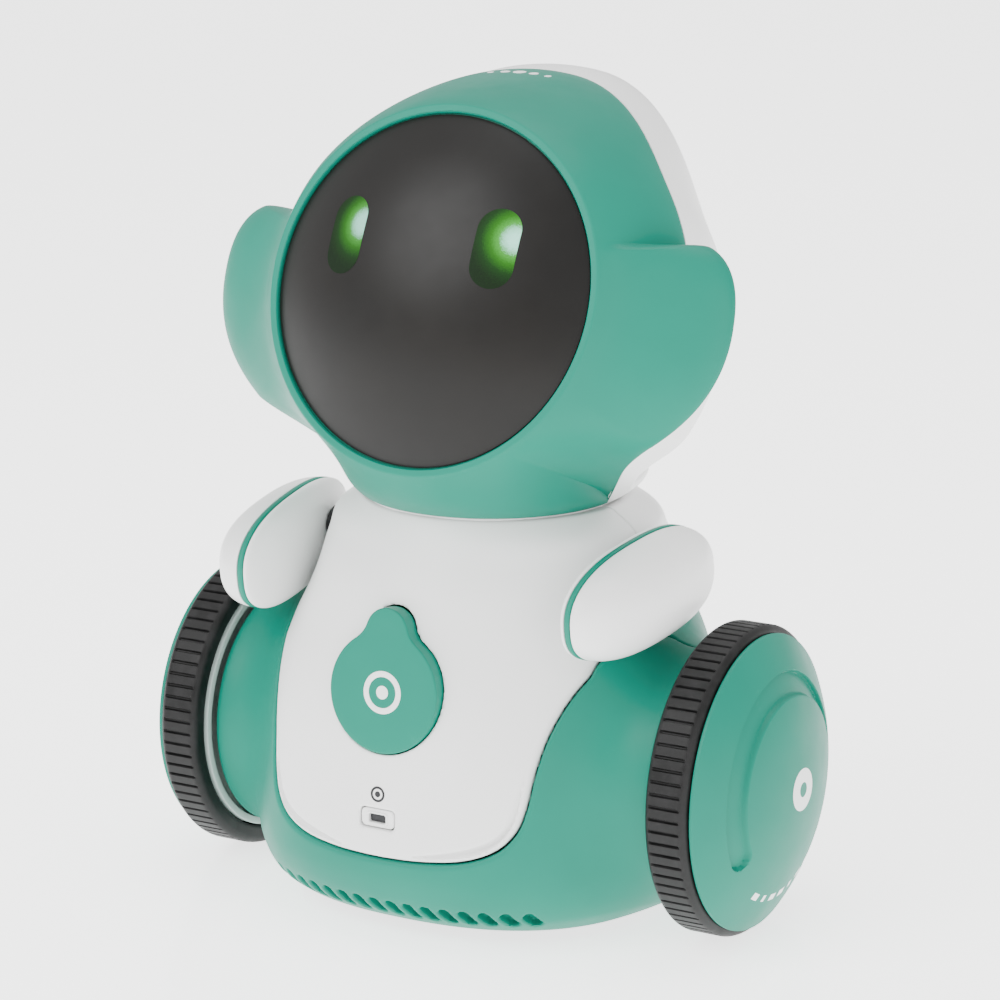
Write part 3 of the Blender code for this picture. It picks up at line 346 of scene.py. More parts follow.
def piece(name, points, faces, material, body, nodes=(), slot=None, smooth_deg=40.0):
    """Closed mesh from millimetre points, riding on a CAD body."""
    mesh = bpy.data.meshes.new(name)
    mesh.from_pydata((np.asarray(points, float) * MM).tolist(), [], faces)
    bm = bmesh.new()
    bm.from_mesh(mesh)
    bmesh.ops.remove_doubles(bm, verts=bm.verts, dist=2e-6)
    bmesh.ops.recalc_face_normals(bm, faces=bm.faces)
    if bm.calc_volume(signed=True) < 0.0:
        bmesh.ops.reverse_faces(bm, faces=bm.faces)
    bm.to_mesh(mesh)
    bm.free()
    mesh.shade_smooth()
    mesh.set_sharp_from_angle(angle=math.radians(smooth_deg))
    obj = bpy.data.objects.new(name, mesh)
    bpy.context.scene.collection.objects.link(obj)
    mesh.materials.append(material)
    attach(obj, body)
    if nodes:
        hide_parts(*nodes)
    return obj


def grid_faces(rows, columns, close_rows=False, close_columns=True, offset=0):
    """Quads of a rows x columns grid of points."""
    faces = []
    for i in range(rows if close_rows else rows - 1):
        below = offset + i * columns
        above = offset + ((i + 1) % rows) * columns
        for j in range(columns if close_columns else columns - 1):
            k = (j + 1) % columns
            faces.append((below + j, below + k, above + k, above + j))
    return faces


def swept(name, rows, material, body, close_rows=False, caps=False, **words):
    """Piece from rows of points, each row a closed loop."""
    rows = np.asarray(rows, float)
    count, columns = rows.shape[:2]
    faces = grid_faces(count, columns, close_rows)
    if caps:
        faces.append(tuple(range(columns))[::-1])
        faces.append(tuple((count - 1) * columns + j for j in range(columns)))
    return piece(name, rows.reshape(-1, 3), faces, material, body, **words)


def full_turn(steps):
    return np.linspace(0.0, 2.0 * math.pi, steps, endpoint=False)


def stacked(x, y, z):
    """Points from coordinates, any of which may be a single number."""
    return np.stack(np.broadcast_arrays(x, y, z), -1)


def ring(x, radius, turn):
    """Points round the X axis."""
    return stacked(x, radius * np.cos(turn), radius * np.sin(turn))


def turned_rows(profile, steps, place=None):
    """Rows of points: each (axial, radius) pair spun about X."""
    axial, radius = np.asarray(profile, float).T
    return transformed(ring(axial[:, None], radius[:, None], full_turn(steps)), place)


def transformed(points, place):
    """Points moved by a matrix, or left where they are."""
    if place is None:
        return points
    m = np.array(place)
    return points @ m[:3, :3].T + m[:3, 3]


def axes_at(origin, x_axis, y_axis, z_axis):
    """Matrix of a local frame with these axes at an origin."""
    turn = Matrix((x_axis, y_axis, z_axis)).transposed().to_4x4()
    return Matrix.Translation(origin) @ turn


def rounded_profile(corners, radius, steps=4, closed=True):
    """Corner points with every corner turned into an arc-like curve."""
    points = []
    count = len(corners)
    for i, corner in enumerate(corners):
        corner = np.array(corner, float)
        if not closed and i in (0, count - 1):
            points.append(tuple(corner))
            continue
        before = np.array(corners[i - 1], float) - corner
        after = np.array(corners[(i + 1) % count], float) - corner
        reach = min(radius, 0.48 * np.linalg.norm(before), 0.48 * np.linalg.norm(after))
        start = corner + before / np.linalg.norm(before) * reach
        end = corner + after / np.linalg.norm(after) * reach
        for k in range(steps + 1):
            t = k / steps
            points.append(tuple(start * (1 - t) ** 2 + corner * 2 * t * (1 - t) + end * t * t))
    return points


def turned_piece(name, profile, material, body, steps=128, place=None, closed=True, **words):
    """Closed profile ring, or with closed=False a profile whose ends lie on the axis."""
    return swept(name, turned_rows(profile, steps, place), material, body,
                 close_rows=closed, **words)


def outward(side, z=WHEEL_R, y=0.0):
    """Places turned profiles so that they run outwards on that side."""
    turn = Matrix.Rotation(0.0 if side > 0 else math.pi, 4, "Z")
    return Matrix.Translation((0.0, y, z)) @ turn


# ---------------------------------------------------------------- distance fields

def smooth_step(t):
    t = np.clip(t, 0.0, 1.0)
    return t * t * (3.0 - 2.0 * t)


def soft_min(a, b, blend):
    h = np.clip(0.5 + 0.5 * (b - a) / blend, 0.0, 1.0)
    return b + (a - b) * h - blend * h * (1.0 - h)


def soft_max(a, b, blend):
    return -soft_min(-a, -b, blend)


def section_values(z):
    """Cubic Hermite through the body's sections: half width, front and rear depth."""
    knots = BODY_SECTIONS[:, 0]
    z = np.clip(z, knots[0], knots[-1])
    k = np.clip(np.searchsorted(knots, z) - 1, 0, len(knots) - 2)
    first = np.maximum(np.arange(len(knots)) - 1, 0)
    last = np.minimum(np.arange(len(knots)) + 1, len(knots) - 1)
    span = knots[k + 1] - knots[k]
    t = (z - knots[k]) / span
    values = []
    for column in (1, 2, 3):
        v = BODY_SECTIONS[:, column]
        slopes = (v[last] - v[first]) / (knots[last] - knots[first])
        values.append(v[k] * (2 * t ** 3 - 3 * t ** 2 + 1)
                      + slopes[k] * span * (t ** 3 - 2 * t * t + t)
                      + v[k + 1] * (3 * t * t - 2 * t ** 3)
                      + slopes[k + 1] * span * (t ** 3 - t * t))
    return values


def body_distance(x, y, z):
    """Signed distance, near enough, to the body's smooth outer form."""
    half, front, rear = section_values(z)
    share = smooth_step((z - 64.0) / (BODY_TOP - 64.0))
    waist = smooth_step((z - 36.0) / 26.0)
    y = y - NECK_Y * share
    ahead = y < 0.0
    power = np.where(ahead, 2.35 - 0.52 * waist, 2.7 - 0.3 * waist - 0.4 * share)
    depth = np.where(ahead, front, rear)
    u = np.abs(x) / half + 1e-6
    v = np.abs(y) / depth + 1e-6
    s = (u ** power + v ** power) ** (1.0 / power)
    slope = np.hypot((u / s) ** (power - 1.0) / half, (v / s) ** (power - 1.0) / depth)
    return (s - 1.0) / slope


def body_surface_y(x, z, front=True):
    """Where the body's surface is at x and z, found by bisection."""
    near, far = 0.0, -60.0 if front else 60.0
    for _ in range(40):
        middle = 0.5 * (near + far)
        if body_distance(np.array(x), np.array(middle), np.array(z)) < 0.0:
            near = middle
        else:
            far = middle
    return near


def pod_distance(x, y, z, radius, reach, rounding):
    """Round hip: a cylinder along X with rounded rims."""
    side = np.hypot(y, z - WHEEL_R) - radius + rounding
    end = np.abs(x) - reach + rounding
    outside = np.hypot(np.maximum(side, 0.0), np.maximum(end, 0.0))
    return outside + np.minimum(np.maximum(side, end), 0.0) - rounding


def catmull_rom(points, steps):
    """Smooth curve through points."""
    points = np.asarray(points, float)
    padded = np.vstack((2 * points[0] - points[1], points, 2 * points[-1] - points[-2]))
    out = []
    for a, b, c, d in zip(padded, padded[1:], padded[2:], padded[3:]):
        for k in range(steps):
            t = k / steps
            out.append(0.5 * (2 * b + (c - a) * t + (2 * a - 5 * b + 4 * c - d) * t * t
                              + (3 * b - a - 3 * c + d) * t ** 3))
    out.append(points[-1])
    return np.array(out)


PANEL_CURVE = catmull_rom([(-9.0, 16.8), *PANEL_OUTLINE], 10)[10:]


def panel_table():
    """Signed distance to the chest panel's edge on a grid; negative inside the panel."""
    x = np.arange(0.0, 64.0, 0.25)
    z = np.arange(0.0, 84.0, 0.25)
    gx, gz = np.meshgrid(x, z, indexing="ij")
    best = np.full(gx.shape, 1e9)
    for (x0, z0), (x1, z1) in zip(PANEL_CURVE, PANEL_CURVE[1:]):
        dx, dz = x1 - x0, z1 - z0
        t = np.clip(((gx - x0) * dx + (gz - z0) * dz) / (dx * dx + dz * dz), 0.0, 1.0)
        best = np.minimum(best, np.hypot(gx - x0 - t * dx, gz - z0 - t * dz))
    edge = np.interp(gx, PANEL_CURVE[:, 0], PANEL_CURVE[:, 1])
    return np.where(gz > edge, -best, best)


PANEL_TABLE = panel_table()


def panel_distance(x, z):
    """Bilinear reading of the panel table."""
    u = np.clip(np.abs(x) * 4.0, 0.0, PANEL_TABLE.shape[0] - 1.001)
    v = np.clip(z * 4.0, 0.0, PANEL_TABLE.shape[1] - 1.001)
    u, v = np.broadcast_arrays(u, v)
    i, j = u.astype(int), v.astype(int)
    fu, fv = u - i, v - j
    table = PANEL_TABLE
    return ((table[i, j] * (1 - fu) + table[i + 1, j] * fu) * (1 - fv)
            + (table[i, j + 1] * (1 - fu) + table[i + 1, j + 1] * fu) * fv)


def vent_places():
    """Centre, outward normal and slot direction of each vent."""
    places = []
    for k in range(VENT_COUNT):
        x = -VENT_SPAN + 2.0 * VENT_SPAN * k / (VENT_COUNT - 1)
        y = body_surface_y(x, VENT_Z)
        step = 0.2
        across = Vector((step * 2, body_surface_y(x + step, VENT_Z)
                         - body_surface_y(x - step, VENT_Z), 0.0)).normalized()
        up = Vector((0.0, body_surface_y(x, VENT_Z + step)
                     - body_surface_y(x, VENT_Z - step), step * 2)).normalized()
        normal = across.cross(up).normalized()
        run = (up * math.cos(VENT_SLANT) - across * math.sin(VENT_SLANT)).normalized()
        places.append((Vector((x, y, VENT_Z)), normal, run))
    return places


VENTS = vent_places()


def vent_distance(x, y, z):
    """Slanted capsules whose centre lines lie on the surface."""
    x, y, z = np.broadcast_arrays(x, y, z)
    whole = np.full(x.shape, 1e3)
    near = (z < VENT_TOP) & (body_distance(x, y, z) > -3.0 * WALL)
    x, y, z = x[near], y[near], z[near]
    best = np.full(x.shape, 1e3)
    for centre, normal, run in VENTS:
        dx, dy, dz = x - centre.x, y - centre.y, z - centre.z
        along = dx * run.x + dy * run.y + dz * run.z
        t = np.clip(along, -VENT_HALF_LENGTH, VENT_HALF_LENGTH)
        dx, dy, dz = dx - t * run.x, dy - t * run.y, dz - t * run.z
        deep = dx * normal.x + dy * normal.y + dz * normal.z
        flat = np.sqrt(np.maximum(dx * dx + dy * dy + dz * dz - deep * deep, 0.0)) - VENT_R
        best = np.minimum(best, np.maximum(flat, np.abs(deep) - VENT_DEPTH))
    whole[near] = best
    return whole


def box_distance(x, y, z, low, high, rounding=0.3):
    """Rounded box between two corners."""
    parts = []
    for value, a, b in zip((x, y, z), low, high):
        parts.append(np.abs(value - 0.5 * (a + b)) - 0.5 * (b - a) + rounding)
    out = [np.maximum(p, 0.0) for p in parts]
    reach = np.sqrt(out[0] ** 2 + out[1] ** 2 + out[2] ** 2)
    return reach + np.minimum(np.maximum(np.maximum(*parts[:2]), parts[2]), 0.0) - rounding


def hull_outer(x, y, z):
    body = body_distance(x, y, z) + SKIN
    return soft_min(body, pod_distance(x, y, z, POD_R, POD_X, 1.6), POD_BLEND)


def hull_field(x, y, z, front):
    """Green lower half: body and hips, hollow, open below and under the chest panel."""
    outer = hull_outer(x, y, z)
    solid = soft_max(outer, HULL_BOTTOM - z, 1.2)
    low = smooth_step((VENT_TOP + 1.0 - z) / 2.0) * smooth_step((z - BASE_TOP) / 0.6)
    thick = (1.8 if front else 0.9) * low
    inner = -(outer + WALL + thick)
    seam = SEAM + (y if front else -y)
    solid = soft_max(solid, seam, EDGE)
    if front:
        solid = soft_max(solid, -(panel_distance(x, z) - 0.05), 2.2 * EDGE)
        solid = soft_max(solid, -vent_distance(x, y, z), 0.3)
    else:
        solid = soft_max(solid, z - HULL_TOP, EDGE)
        back = body_surface_y(0.0, 18.0, False)
        for x0, x1, z0, z1 in BACK_OPENINGS:
            opening = box_distance(x, y, z, (x0, back - 6, z0), (x1, back + 3, z1))
            solid = soft_max(solid, -opening, 0.4)
    axle = PIN_HOLE_R - np.hypot(y, z - WHEEL_R)
    return np.maximum(np.maximum(solid, inner), axle)


def chest_matrix():
    """Local Z leaves the chest forwards and local Y runs up it."""
    out = Vector((0.0, -math.cos(CHEST_LEAN), math.sin(CHEST_LEAN)))
    up = Vector((0.0, math.sin(CHEST_LEAN), math.cos(CHEST_LEAN)))
    return axes_at((0.0, body_surface_y(0.0, BUTTON_Z), BUTTON_Z), up.cross(out), up, out)


CHEST = chest_matrix()


def button_distance(u, v):
    """Button outline: a disc with a round nub on top, joined by hollow fillets."""
    side = np.abs(u)
    disc = np.hypot(side, v) - BUTTON_R
    nub = np.hypot(side, v - NUB_OFFSET) - NUB_R
    big, small = BUTTON_R + NUB_FILLET_R, NUB_R + NUB_FILLET_R
    lean = math.acos((big ** 2 + NUB_OFFSET ** 2 - small ** 2) / (2.0 * big * NUB_OFFSET))
    cu, cv = big * math.sin(lean), big * math.cos(lean)
    hollow = NUB_FILLET_R - np.hypot(side - cu, v - cv)
    past_disc = side * cv - v * cu < 0.0
    below_nub = side * (cv - NUB_OFFSET) - (v - NUB_OFFSET) * cu > 0.0
    return np.where(past_disc & below_nub, hollow, np.minimum(disc, nub))


def rounded_rect(u, v, half_u, half_v, radius):
    du = np.abs(u) - half_u + radius
    dv = np.abs(v) - half_v + radius
    return (np.hypot(np.maximum(du, 0.0), np.maximum(dv, 0.0))
            + np.minimum(np.maximum(du, dv), 0.0) - radius)


def panel_groove(x, z):
    """Half width of the shadow groove in the panel's rim, widest at the lower corners."""
    heading = np.arctan2(np.abs(x), 36.0 - z)
    return 0.7 * np.exp(-((heading - math.radians(52.0)) / math.radians(26.0)) ** 2) - 0.04


def top_wall(z):
    """Extra wall where the torso slopes in towards the neck."""
    return 1.8 * smooth_step((z - 70.5) / 3.0)


def hollow_torso(solid, outer, y, z):
    """Solid torso half made hollow, with the hole for the shoulder pins."""
    pin = PIN_HOLE_R - np.hypot(y, z - SHOULDER_Z)
    return np.maximum(np.maximum(solid, -(outer + WALL + top_wall(z))), pin)


def front_panel_field(x, y, z):
    """White chest panel with its shadow groove, button opening and port opening."""
    outer = body_distance(x, y, z) + SKIN
    edge = panel_distance(x, z)
    solid = soft_max(outer, edge + 0.35, 2.0 * EDGE)
    width = panel_groove(x, z)
    groove = np.hypot(edge + 1.15 + width, 0.5 * outer) - width
    solid = soft_max(solid, -groove, 0.15)
    solid = soft_max(solid, y + SEAM, EDGE)
    solid = soft_max(solid, z - BODY_TOP, EDGE)
    u, v = (row[0] * x + row[1] * y + row[2] * z + row[3] for row in CHEST.inverted()[:2])
    ahead = -y - 20.0
    button = np.maximum(button_distance(u, v) - 0.25, -ahead)
    port = np.maximum(rounded_rect(x, z - PORT_Z, 3.75, 1.95, 1.0), -ahead)
    solid = soft_max(solid, -np.minimum(button, port), 0.3)
    return hollow_torso(solid, outer, y, z)


def rear_torso_field(x, y, z):
    """White upper back."""
    outer = body_distance(x, y, z) + SKIN
    solid = soft_max(outer, SEAM - y, EDGE)
    solid = soft_max(solid, HULL_TOP + GAP - z, EDGE)
    solid = soft_max(solid, z - BODY_TOP, EDGE)
    return hollow_torso(solid, outer, y, z)


CORNERS = np.array([(i, j, k) for i in (0, 1) for j in (0, 1) for k in (0, 1)])
CELL_EDGES = [(a, b) for a in range(8) for b in range(a + 1, 8)
              if np.abs(CORNERS[a] - CORNERS[b]).sum() == 1]


def field_mesh(field, low, high, step):
    """Quads of the surface field = 0, one vertex in each cell the surface crosses."""
    step = step * COARSE
    low = np.array(low, float)
    shape = np.ceil((np.array(high) - low) / step).astype(int) + 1
    x, y, z = (low[a] + step * np.arange(shape[a]) for a in range(3))
    values = field(x[:, None, None], y[None, :, None], z[None, None, :])
    inside = values < 0.0
    total = np.zeros(shape - 1, np.int8)
    for i, j, k in CORNERS:
        total += inside[i:shape[0] - 1 + i, j:shape[1] - 1 + j, k:shape[2] - 1 + k]
    cells = np.argwhere((total > 0) & (total < 8))
    corner = values[tuple((cells[:, None, :] + CORNERS[None]).transpose(2, 0, 1))]
    points = np.zeros((len(cells), 3))
    crossings = np.zeros(len(cells))
    for a, b in CELL_EDGES:
        va, vb = corner[:, a], corner[:, b]
        crossed = (va < 0.0) != (vb < 0.0)
        t = np.where(crossed, va / np.where(crossed, va - vb, 1.0), 0.0)
        spot = CORNERS[a] + t[:, None] * (CORNERS[b] - CORNERS[a])
        points += np.where(crossed[:, None], spot, 0.0)
        crossings += crossed
    points = low + step * (cells + points / crossings[:, None])
    index = np.full(shape - 1, -1)
    index[tuple(cells.T)] = np.arange(len(cells))
    faces = []
    for axis in range(3):
        u, v = (axis + 1) % 3, (axis + 2) % 3
        first = np.take(inside, range(shape[axis] - 1), axis)
        second = np.take(inside, range(1, shape[axis]), axis)
        for starts, sign in ((first & ~second, 1), (second & ~first, -1)):
            spots = np.argwhere(starts)
            spots = spots[(spots[:, u] > 0) & (spots[:, v] > 0)
                          & (spots[:, u] < shape[u] - 1) & (spots[:, v] < shape[v] - 1)]
            around = []
            for du, dv in ((1, 1), (0, 1), (0, 0), (1, 0))[::sign]:
                cell = spots.copy()
                cell[:, u] -= du
                cell[:, v] -= dv
                around.append(index[tuple(cell.T)])
            faces.append(np.stack(around, 1))
    return settle(field, points, 0.25 * step), np.concatenate(faces)


def settle(field, points, limit):
    """Slide points along the field's gradient onto its surface."""
    eps = 0.02
    for _ in range(3):
        x, y, z = points.T
        value = field(x, y, z)
        slope = np.stack((field(x + eps, y, z) - field(x - eps, y, z),
                          field(x, y + eps, z) - field(x, y - eps, z),
                          field(x, y, z + eps) - field(x, y, z - eps)), 1) / (2 * eps)
        move = -value[:, None] * slope / np.maximum((slope ** 2).sum(1), 0.05)[:, None]
        length = np.linalg.norm(move, axis=1)
        points = points + move * np.minimum(1.0, limit / np.maximum(length, 1e-9))[:, None]
    return points


# ---------------------------------------------------------------- body pieces

def make_body():
    """Hull and torso: name, field, CAD node, colour, box to mesh and cell size."""
    for name, field, node, word, low, high, step in (
            ("hull_front", lambda x, y, z: hull_field(x, y, z, True), "hull_front_shell",
             "green", (-49.0, -43.0, 1.0), (49.0, 1.0, 57.0), 0.42),
            ("hull_rear", lambda x, y, z: hull_field(x, y, z, False), "hull_rear_shell",
             "green", (-49.0, -1.0, 1.0), (49.0, 43.0, 56.0), 0.5),
            ("chest_panel", front_panel_field, "torso_front_panel",
             "white", (-41.5, -43.0, 14.5), (41.5, 1.0, 78.5), 0.4),
            ("back_panel", rear_torso_field, "torso_rear_shell",
             "white", (-41.5, -1.0, 53.0), (41.5, 41.0, 78.5), 0.45)):
        points, faces = field_mesh(field, low, high, step)
        piece(name, points, faces.tolist(), GREEN if word == "green" else WHITE, "body",
              (node,), word + "_plastic", 60.0)


def outline_points(distance, steps, reach=30.0):
    """Closed outline of a 2-D distance function, read along rays from the origin."""
    turn = full_turn(steps)
    near, far = np.zeros(steps), np.full(steps, reach)
    for _ in range(40):
        middle = 0.5 * (near + far)
        within = distance(middle * np.cos(turn), middle * np.sin(turn)) < 0.0
        near, far = np.where(within, middle, near), np.where(within, far, middle)
    return near * np.cos(turn), near * np.sin(turn)


def pad(name, distance, low, high, rounding, place, material, body, crown=0.0, steps=160,
        **words):
    """Flat pad of any outline with rounded rims and an optional crowned face."""
    u, v = outline_points(distance, steps)
    rows = [stacked(u * 0.0, v * 0.0, low), stacked(u, v, low)]
    inset_steps = 5
    for k in range(inset_steps + 1):
        a = math.pi / 2.0 * k / inset_steps
        inset = rounding * (1.0 - math.cos(a))
        u, v = outline_points(lambda p, q: distance(p, q) + inset, steps)
        rows.append(stacked(u, v, high - rounding * (1.0 - math.sin(a))))
    away = np.hypot(u, v)
    for share in (0.85, 0.65, 0.4, 0.2, 0.0):
        lift = crown * (1.0 - np.minimum(1.0, away * share / away.min()) ** 2)
        rows.append(stacked(u * share, v * share, high + lift))
    return swept(name, transformed(np.array(rows), place), material, body, **words)


def flat_ring(name, radius, half_width, low, high, place, material, body, **words):
    """Thin printed ring standing on local XY."""
    inner, outer = radius - half_width, radius + half_width
    profile = rounded_profile(((low, inner), (low, outer), (high, outer), (high, inner)), 0.05, 2)
    return turned_piece(name, profile, material, body, 96, place @ UPRIGHT, **words)


def dot(name, radius, low, high, rounding, place, material, body, steps):
    """Round printed dot."""
    pad(name, lambda u, v: np.hypot(u, v) - radius, low, high, rounding, place, material, body,
        steps=steps)


def make_chest():
    """Green button with its printed mark, the record port and the mark over it."""
    pad("chest_button_cap", button_distance, -2.6, 0.75, 0.35, CHEST, GREEN, "chest_button",
        0.15, nodes=("chest_button",), slot="green_plastic")
    flat_ring("chest_button_ring", 3.4, 0.55, 0.7, 0.93, CHEST, PRINT, "chest_button")
    dot("chest_button_dot", 1.25, 0.6, 0.95, 0.05, CHEST, PRINT, "chest_button", 64)
    surface = body_surface_y(0.0, PORT_Z)
    facing = Matrix(((1, 0, 0, 0), (0, 0, -1, surface), (0, 1, 0, PORT_Z), (0, 0, 0, 1)))
    make_port(facing)
    rise = 0.5
    lean = Vector((0.0, body_surface_y(0.0, LABEL_Z + rise) - body_surface_y(0.0, LABEL_Z - rise),
                   2.0 * rise)).normalized()
    out = Vector((0.0, -lean.z, lean.y))
    label = axes_at((0.0, body_surface_y(0.0, LABEL_Z), LABEL_Z), (1.0, 0.0, 0.0), lean, out)
    flat_ring("port_label_ring", 1.25, 0.22, -0.3, 0.05, label, INK, "body")
    dot("port_label_dot", 0.55, -0.3, 0.06, 0.03, label, INK, "body", 48)


def make_port(facing):
    """Rounded socket: a pale tray with a raised bezel, and a black pad sunk in its slot as painted
    shade for the dark depth of the opening.
    """
    rows = []
    levels = ((3.45, 1.7, 0.95, -2.8), (3.45, 1.7, 0.95, -0.55), (3.3, 1.55, 0.85, -0.4),
              (2.25, 1.25, 0.6, -0.4), (2.1, 1.15, 0.6, -0.1), (1.95, 1.0, 0.5, -0.1),
              (1.8, 0.85, 0.4, -0.25), (1.8, 0.85, 0.4, -2.0))
    for half_u, half_v, radius, level in levels:
        u, v = outline_points(lambda p, q: rounded_rect(p, q, half_u, half_v, radius), 96)
        rows.append(stacked(u, v, level))
    rows.insert(0, rows[0] * (0.0, 0.0, 1.0))
    rows.append(rows[-1] * (0.0, 0.0, 1.0))
    rows = transformed(np.array(rows), facing)
    swept("record_port_bezel", rows, WHITE, "body", nodes=("record_port",), slot="grey_plastic",
          smooth_deg=30.0)
    # black pad in the slot: painted shade standing in for the dark depth of the opening
    pad("record_port_slot_shade", lambda u, v: rounded_rect(u, v, 1.7, 0.75, 0.35), -1.9, -0.8, 0.1,
        facing, DARK, "body", steps=64)


# ---------------------------------------------------------------- head

AXIAL = Vector((0.0, -math.cos(HEAD_TILT), math.sin(HEAD_TILT)))


def head_point(theta, radius, n):
    """Point at a polar angle and radius round the helmet's axis, n along it."""
    s = HEAD_AXIS_S + radius * math.sin(theta)
    return Vector((radius * math.cos(theta),
                   s * math.sin(HEAD_TILT) - n * math.cos(HEAD_TILT),
                   s * math.cos(HEAD_TILT) + n * math.sin(HEAD_TILT)))


def head_polar(point):
    """Polar angle, radius and distance along the helmet's axis of a point."""
    s = point.y * math.sin(HEAD_TILT) + point.z * math.cos(HEAD_TILT)
    n = -point.y * math.cos(HEAD_TILT) + point.z * math.sin(HEAD_TILT)
    return math.atan2(s - HEAD_AXIS_S, point.x), math.hypot(point.x, s - HEAD_AXIS_S), n


def eased(value, start, run):
    """One number that rises smoothly from 0 to 1 over a run from a start."""
    return float(smooth_step((value - start) / run))


def ear_rise(theta):
    """How far the ear stands out of the round helmet at this polar angle."""
    degrees = math.degrees(theta)
    if 0.0 <= degrees < EAR_TOP_DEG:
        inner, outer = EAR_TOP_POWERS
        return EAR_RISE * (1.0 - (degrees / EAR_TOP_DEG) ** inner) ** outer
    if EAR_BOTTOM_DEG < degrees < 0.0:
        inner, outer = EAR_BOTTOM_POWERS
        return EAR_RISE * (1.0 - (degrees / EAR_BOTTOM_DEG) ** inner) ** outer
    return 0.0


def base_radius(theta):
    """Radius of the seam without the ears."""
    degrees = math.degrees(theta)
    drop = TEMPLE_DROP * eased(degrees, TEMPLE_DEG, TEMPLE_RUN_DEG)
    return HEAD_BASE_R - drop + CROWN_RISE * eased(degrees, 35.0, 45.0)


def seam_n(theta):
    """How far forward the seam lies: level at the ears, running back to the crown."""
    degrees = math.degrees(theta)
    step = SEAM_STEP * eased(degrees, TEMPLE_DEG, TEMPLE_RUN_DEG)
    return SEAM_N - step - SEAM_RUN * eased(degrees, 32.0, 52.0)


def neck_point(turn, front):
    """Point of the neck's circle, from the side towards the front or the rear."""
    toward = -1.0 if front else 1.0
    return Vector((NECK_R * math.cos(turn), NECK_Y + toward * NECK_R * math.sin(turn), NECK_Z))


SIDE_THETA, SIDE_RADIUS, SIDE_N = head_polar(neck_point(0.0, True))
LOW_THETA = math.radians(SEAM_LOW_DEG)


def head_end(theta, front):
    """Where a meridian ends: the seam, then back to the neck's side, then its circle."""
    if theta >= LOW_THETA:
        return theta, base_radius(theta), seam_n(theta)
    if theta >= SIDE_THETA:
        w = (LOW_THETA - theta) / (LOW_THETA - SIDE_THETA)
        radius = base_radius(theta) + (SIDE_RADIUS - HEAD_BASE_R) * w
        return theta, radius, SEAM_N + (SIDE_N - SEAM_N) * w ** 1.3
    turn = math.pi / 2.0 * (SIDE_THETA - theta) / (SIDE_THETA + math.pi / 2.0)
    return head_polar(neck_point(turn, front))


def bezier(p0, p1, p2, p3, t):
    """Cubic curve."""
    return (p0 * (1 - t) ** 3 + p1 * 3 * t * (1 - t) ** 2
            + p2 * 3 * t * t * (1 - t) + p3 * t ** 3)


def neck_share(theta):
    """How much a meridian belongs to the neck: 0 at the seam's low end, 1 at the side."""
    return float(smooth_step((LOW_THETA - theta) / (LOW_THETA - SIDE_THETA)))


def radial_at(theta):
    """Unit vector away from the helmet's axis."""
    return head_point(theta, 1.0, 0.0) - head_point(theta, 0.0, 0.0)


# Handle lengths of the meridians' curves.  Those of the crown and the neck are added by share.
FRONT_RIM_OUT, FRONT_RIM_OUT_NECK, FRONT_RIM_OUT_CROWN, FRONT_RIM_BACK = 2.8, -0.3, 0.7, 3.4
FRONT_SEAM_AHEAD, FRONT_SEAM_AHEAD_CROWN, FRONT_SEAM_IN_CROWN = 4.0, 1.8, 0.7
FRONT_NECK_OUT, FRONT_NECK_UP = 4.5, 3.0
REAR_SEAM_IN, REAR_SEAM_OUT_CROWN = 5.6, 18.8
REAR_SEAM_BACK, REAR_SEAM_BACK_CROWN = 36.4, -9.0
REAR_NECK_OUT, REAR_NECK_UP = 13.0, 6.0
REAR_POLE_OUT, REAR_POLE_OUT_CROWN, REAR_POLE_OUT_NECK = 37.9, -14.1, -16.0


def front_meridian(theta, ts):
    """Green front shell from the visor rim to the seam or the neck."""
    end_theta, end_radius, end_n = head_end(theta, True)
    start = head_point(theta, VISOR_R + RIM_BAND, RIM_N)
    end = head_point(end_theta, end_radius, end_n)
    radial = radial_at(theta)
    share = neck_share(theta)
    crown = eased(math.degrees(theta), 10.0, 30.0)
    out = FRONT_RIM_OUT + FRONT_RIM_OUT_NECK * share + FRONT_RIM_OUT_CROWN * crown
    leave = start + radial * out - AXIAL * FRONT_RIM_BACK
    outwards = Vector((end.x, end.y - NECK_Y, 0.0)).normalized()
    arrive_neck = outwards * FRONT_NECK_OUT + Vector((0.0, 0.0, FRONT_NECK_UP))
    arrive_seam = (AXIAL * (FRONT_SEAM_AHEAD + FRONT_SEAM_AHEAD_CROWN * crown)
                   - radial * FRONT_SEAM_IN_CROWN * crown)
    arrive = end + arrive_seam * (1.0 - share) + arrive_neck * share
    rise = ear_rise(theta)
    points = []
    for t in ts:
        point = bezier(start, leave, arrive, end, t)
        n = head_polar(point)[2]
        flare = float(smooth_step((RIM_N - 1.5 - n) / (RIM_N - 1.5 - SEAM_N))) ** 1.2
        points.append(point + radial * rise * flare)
    return points


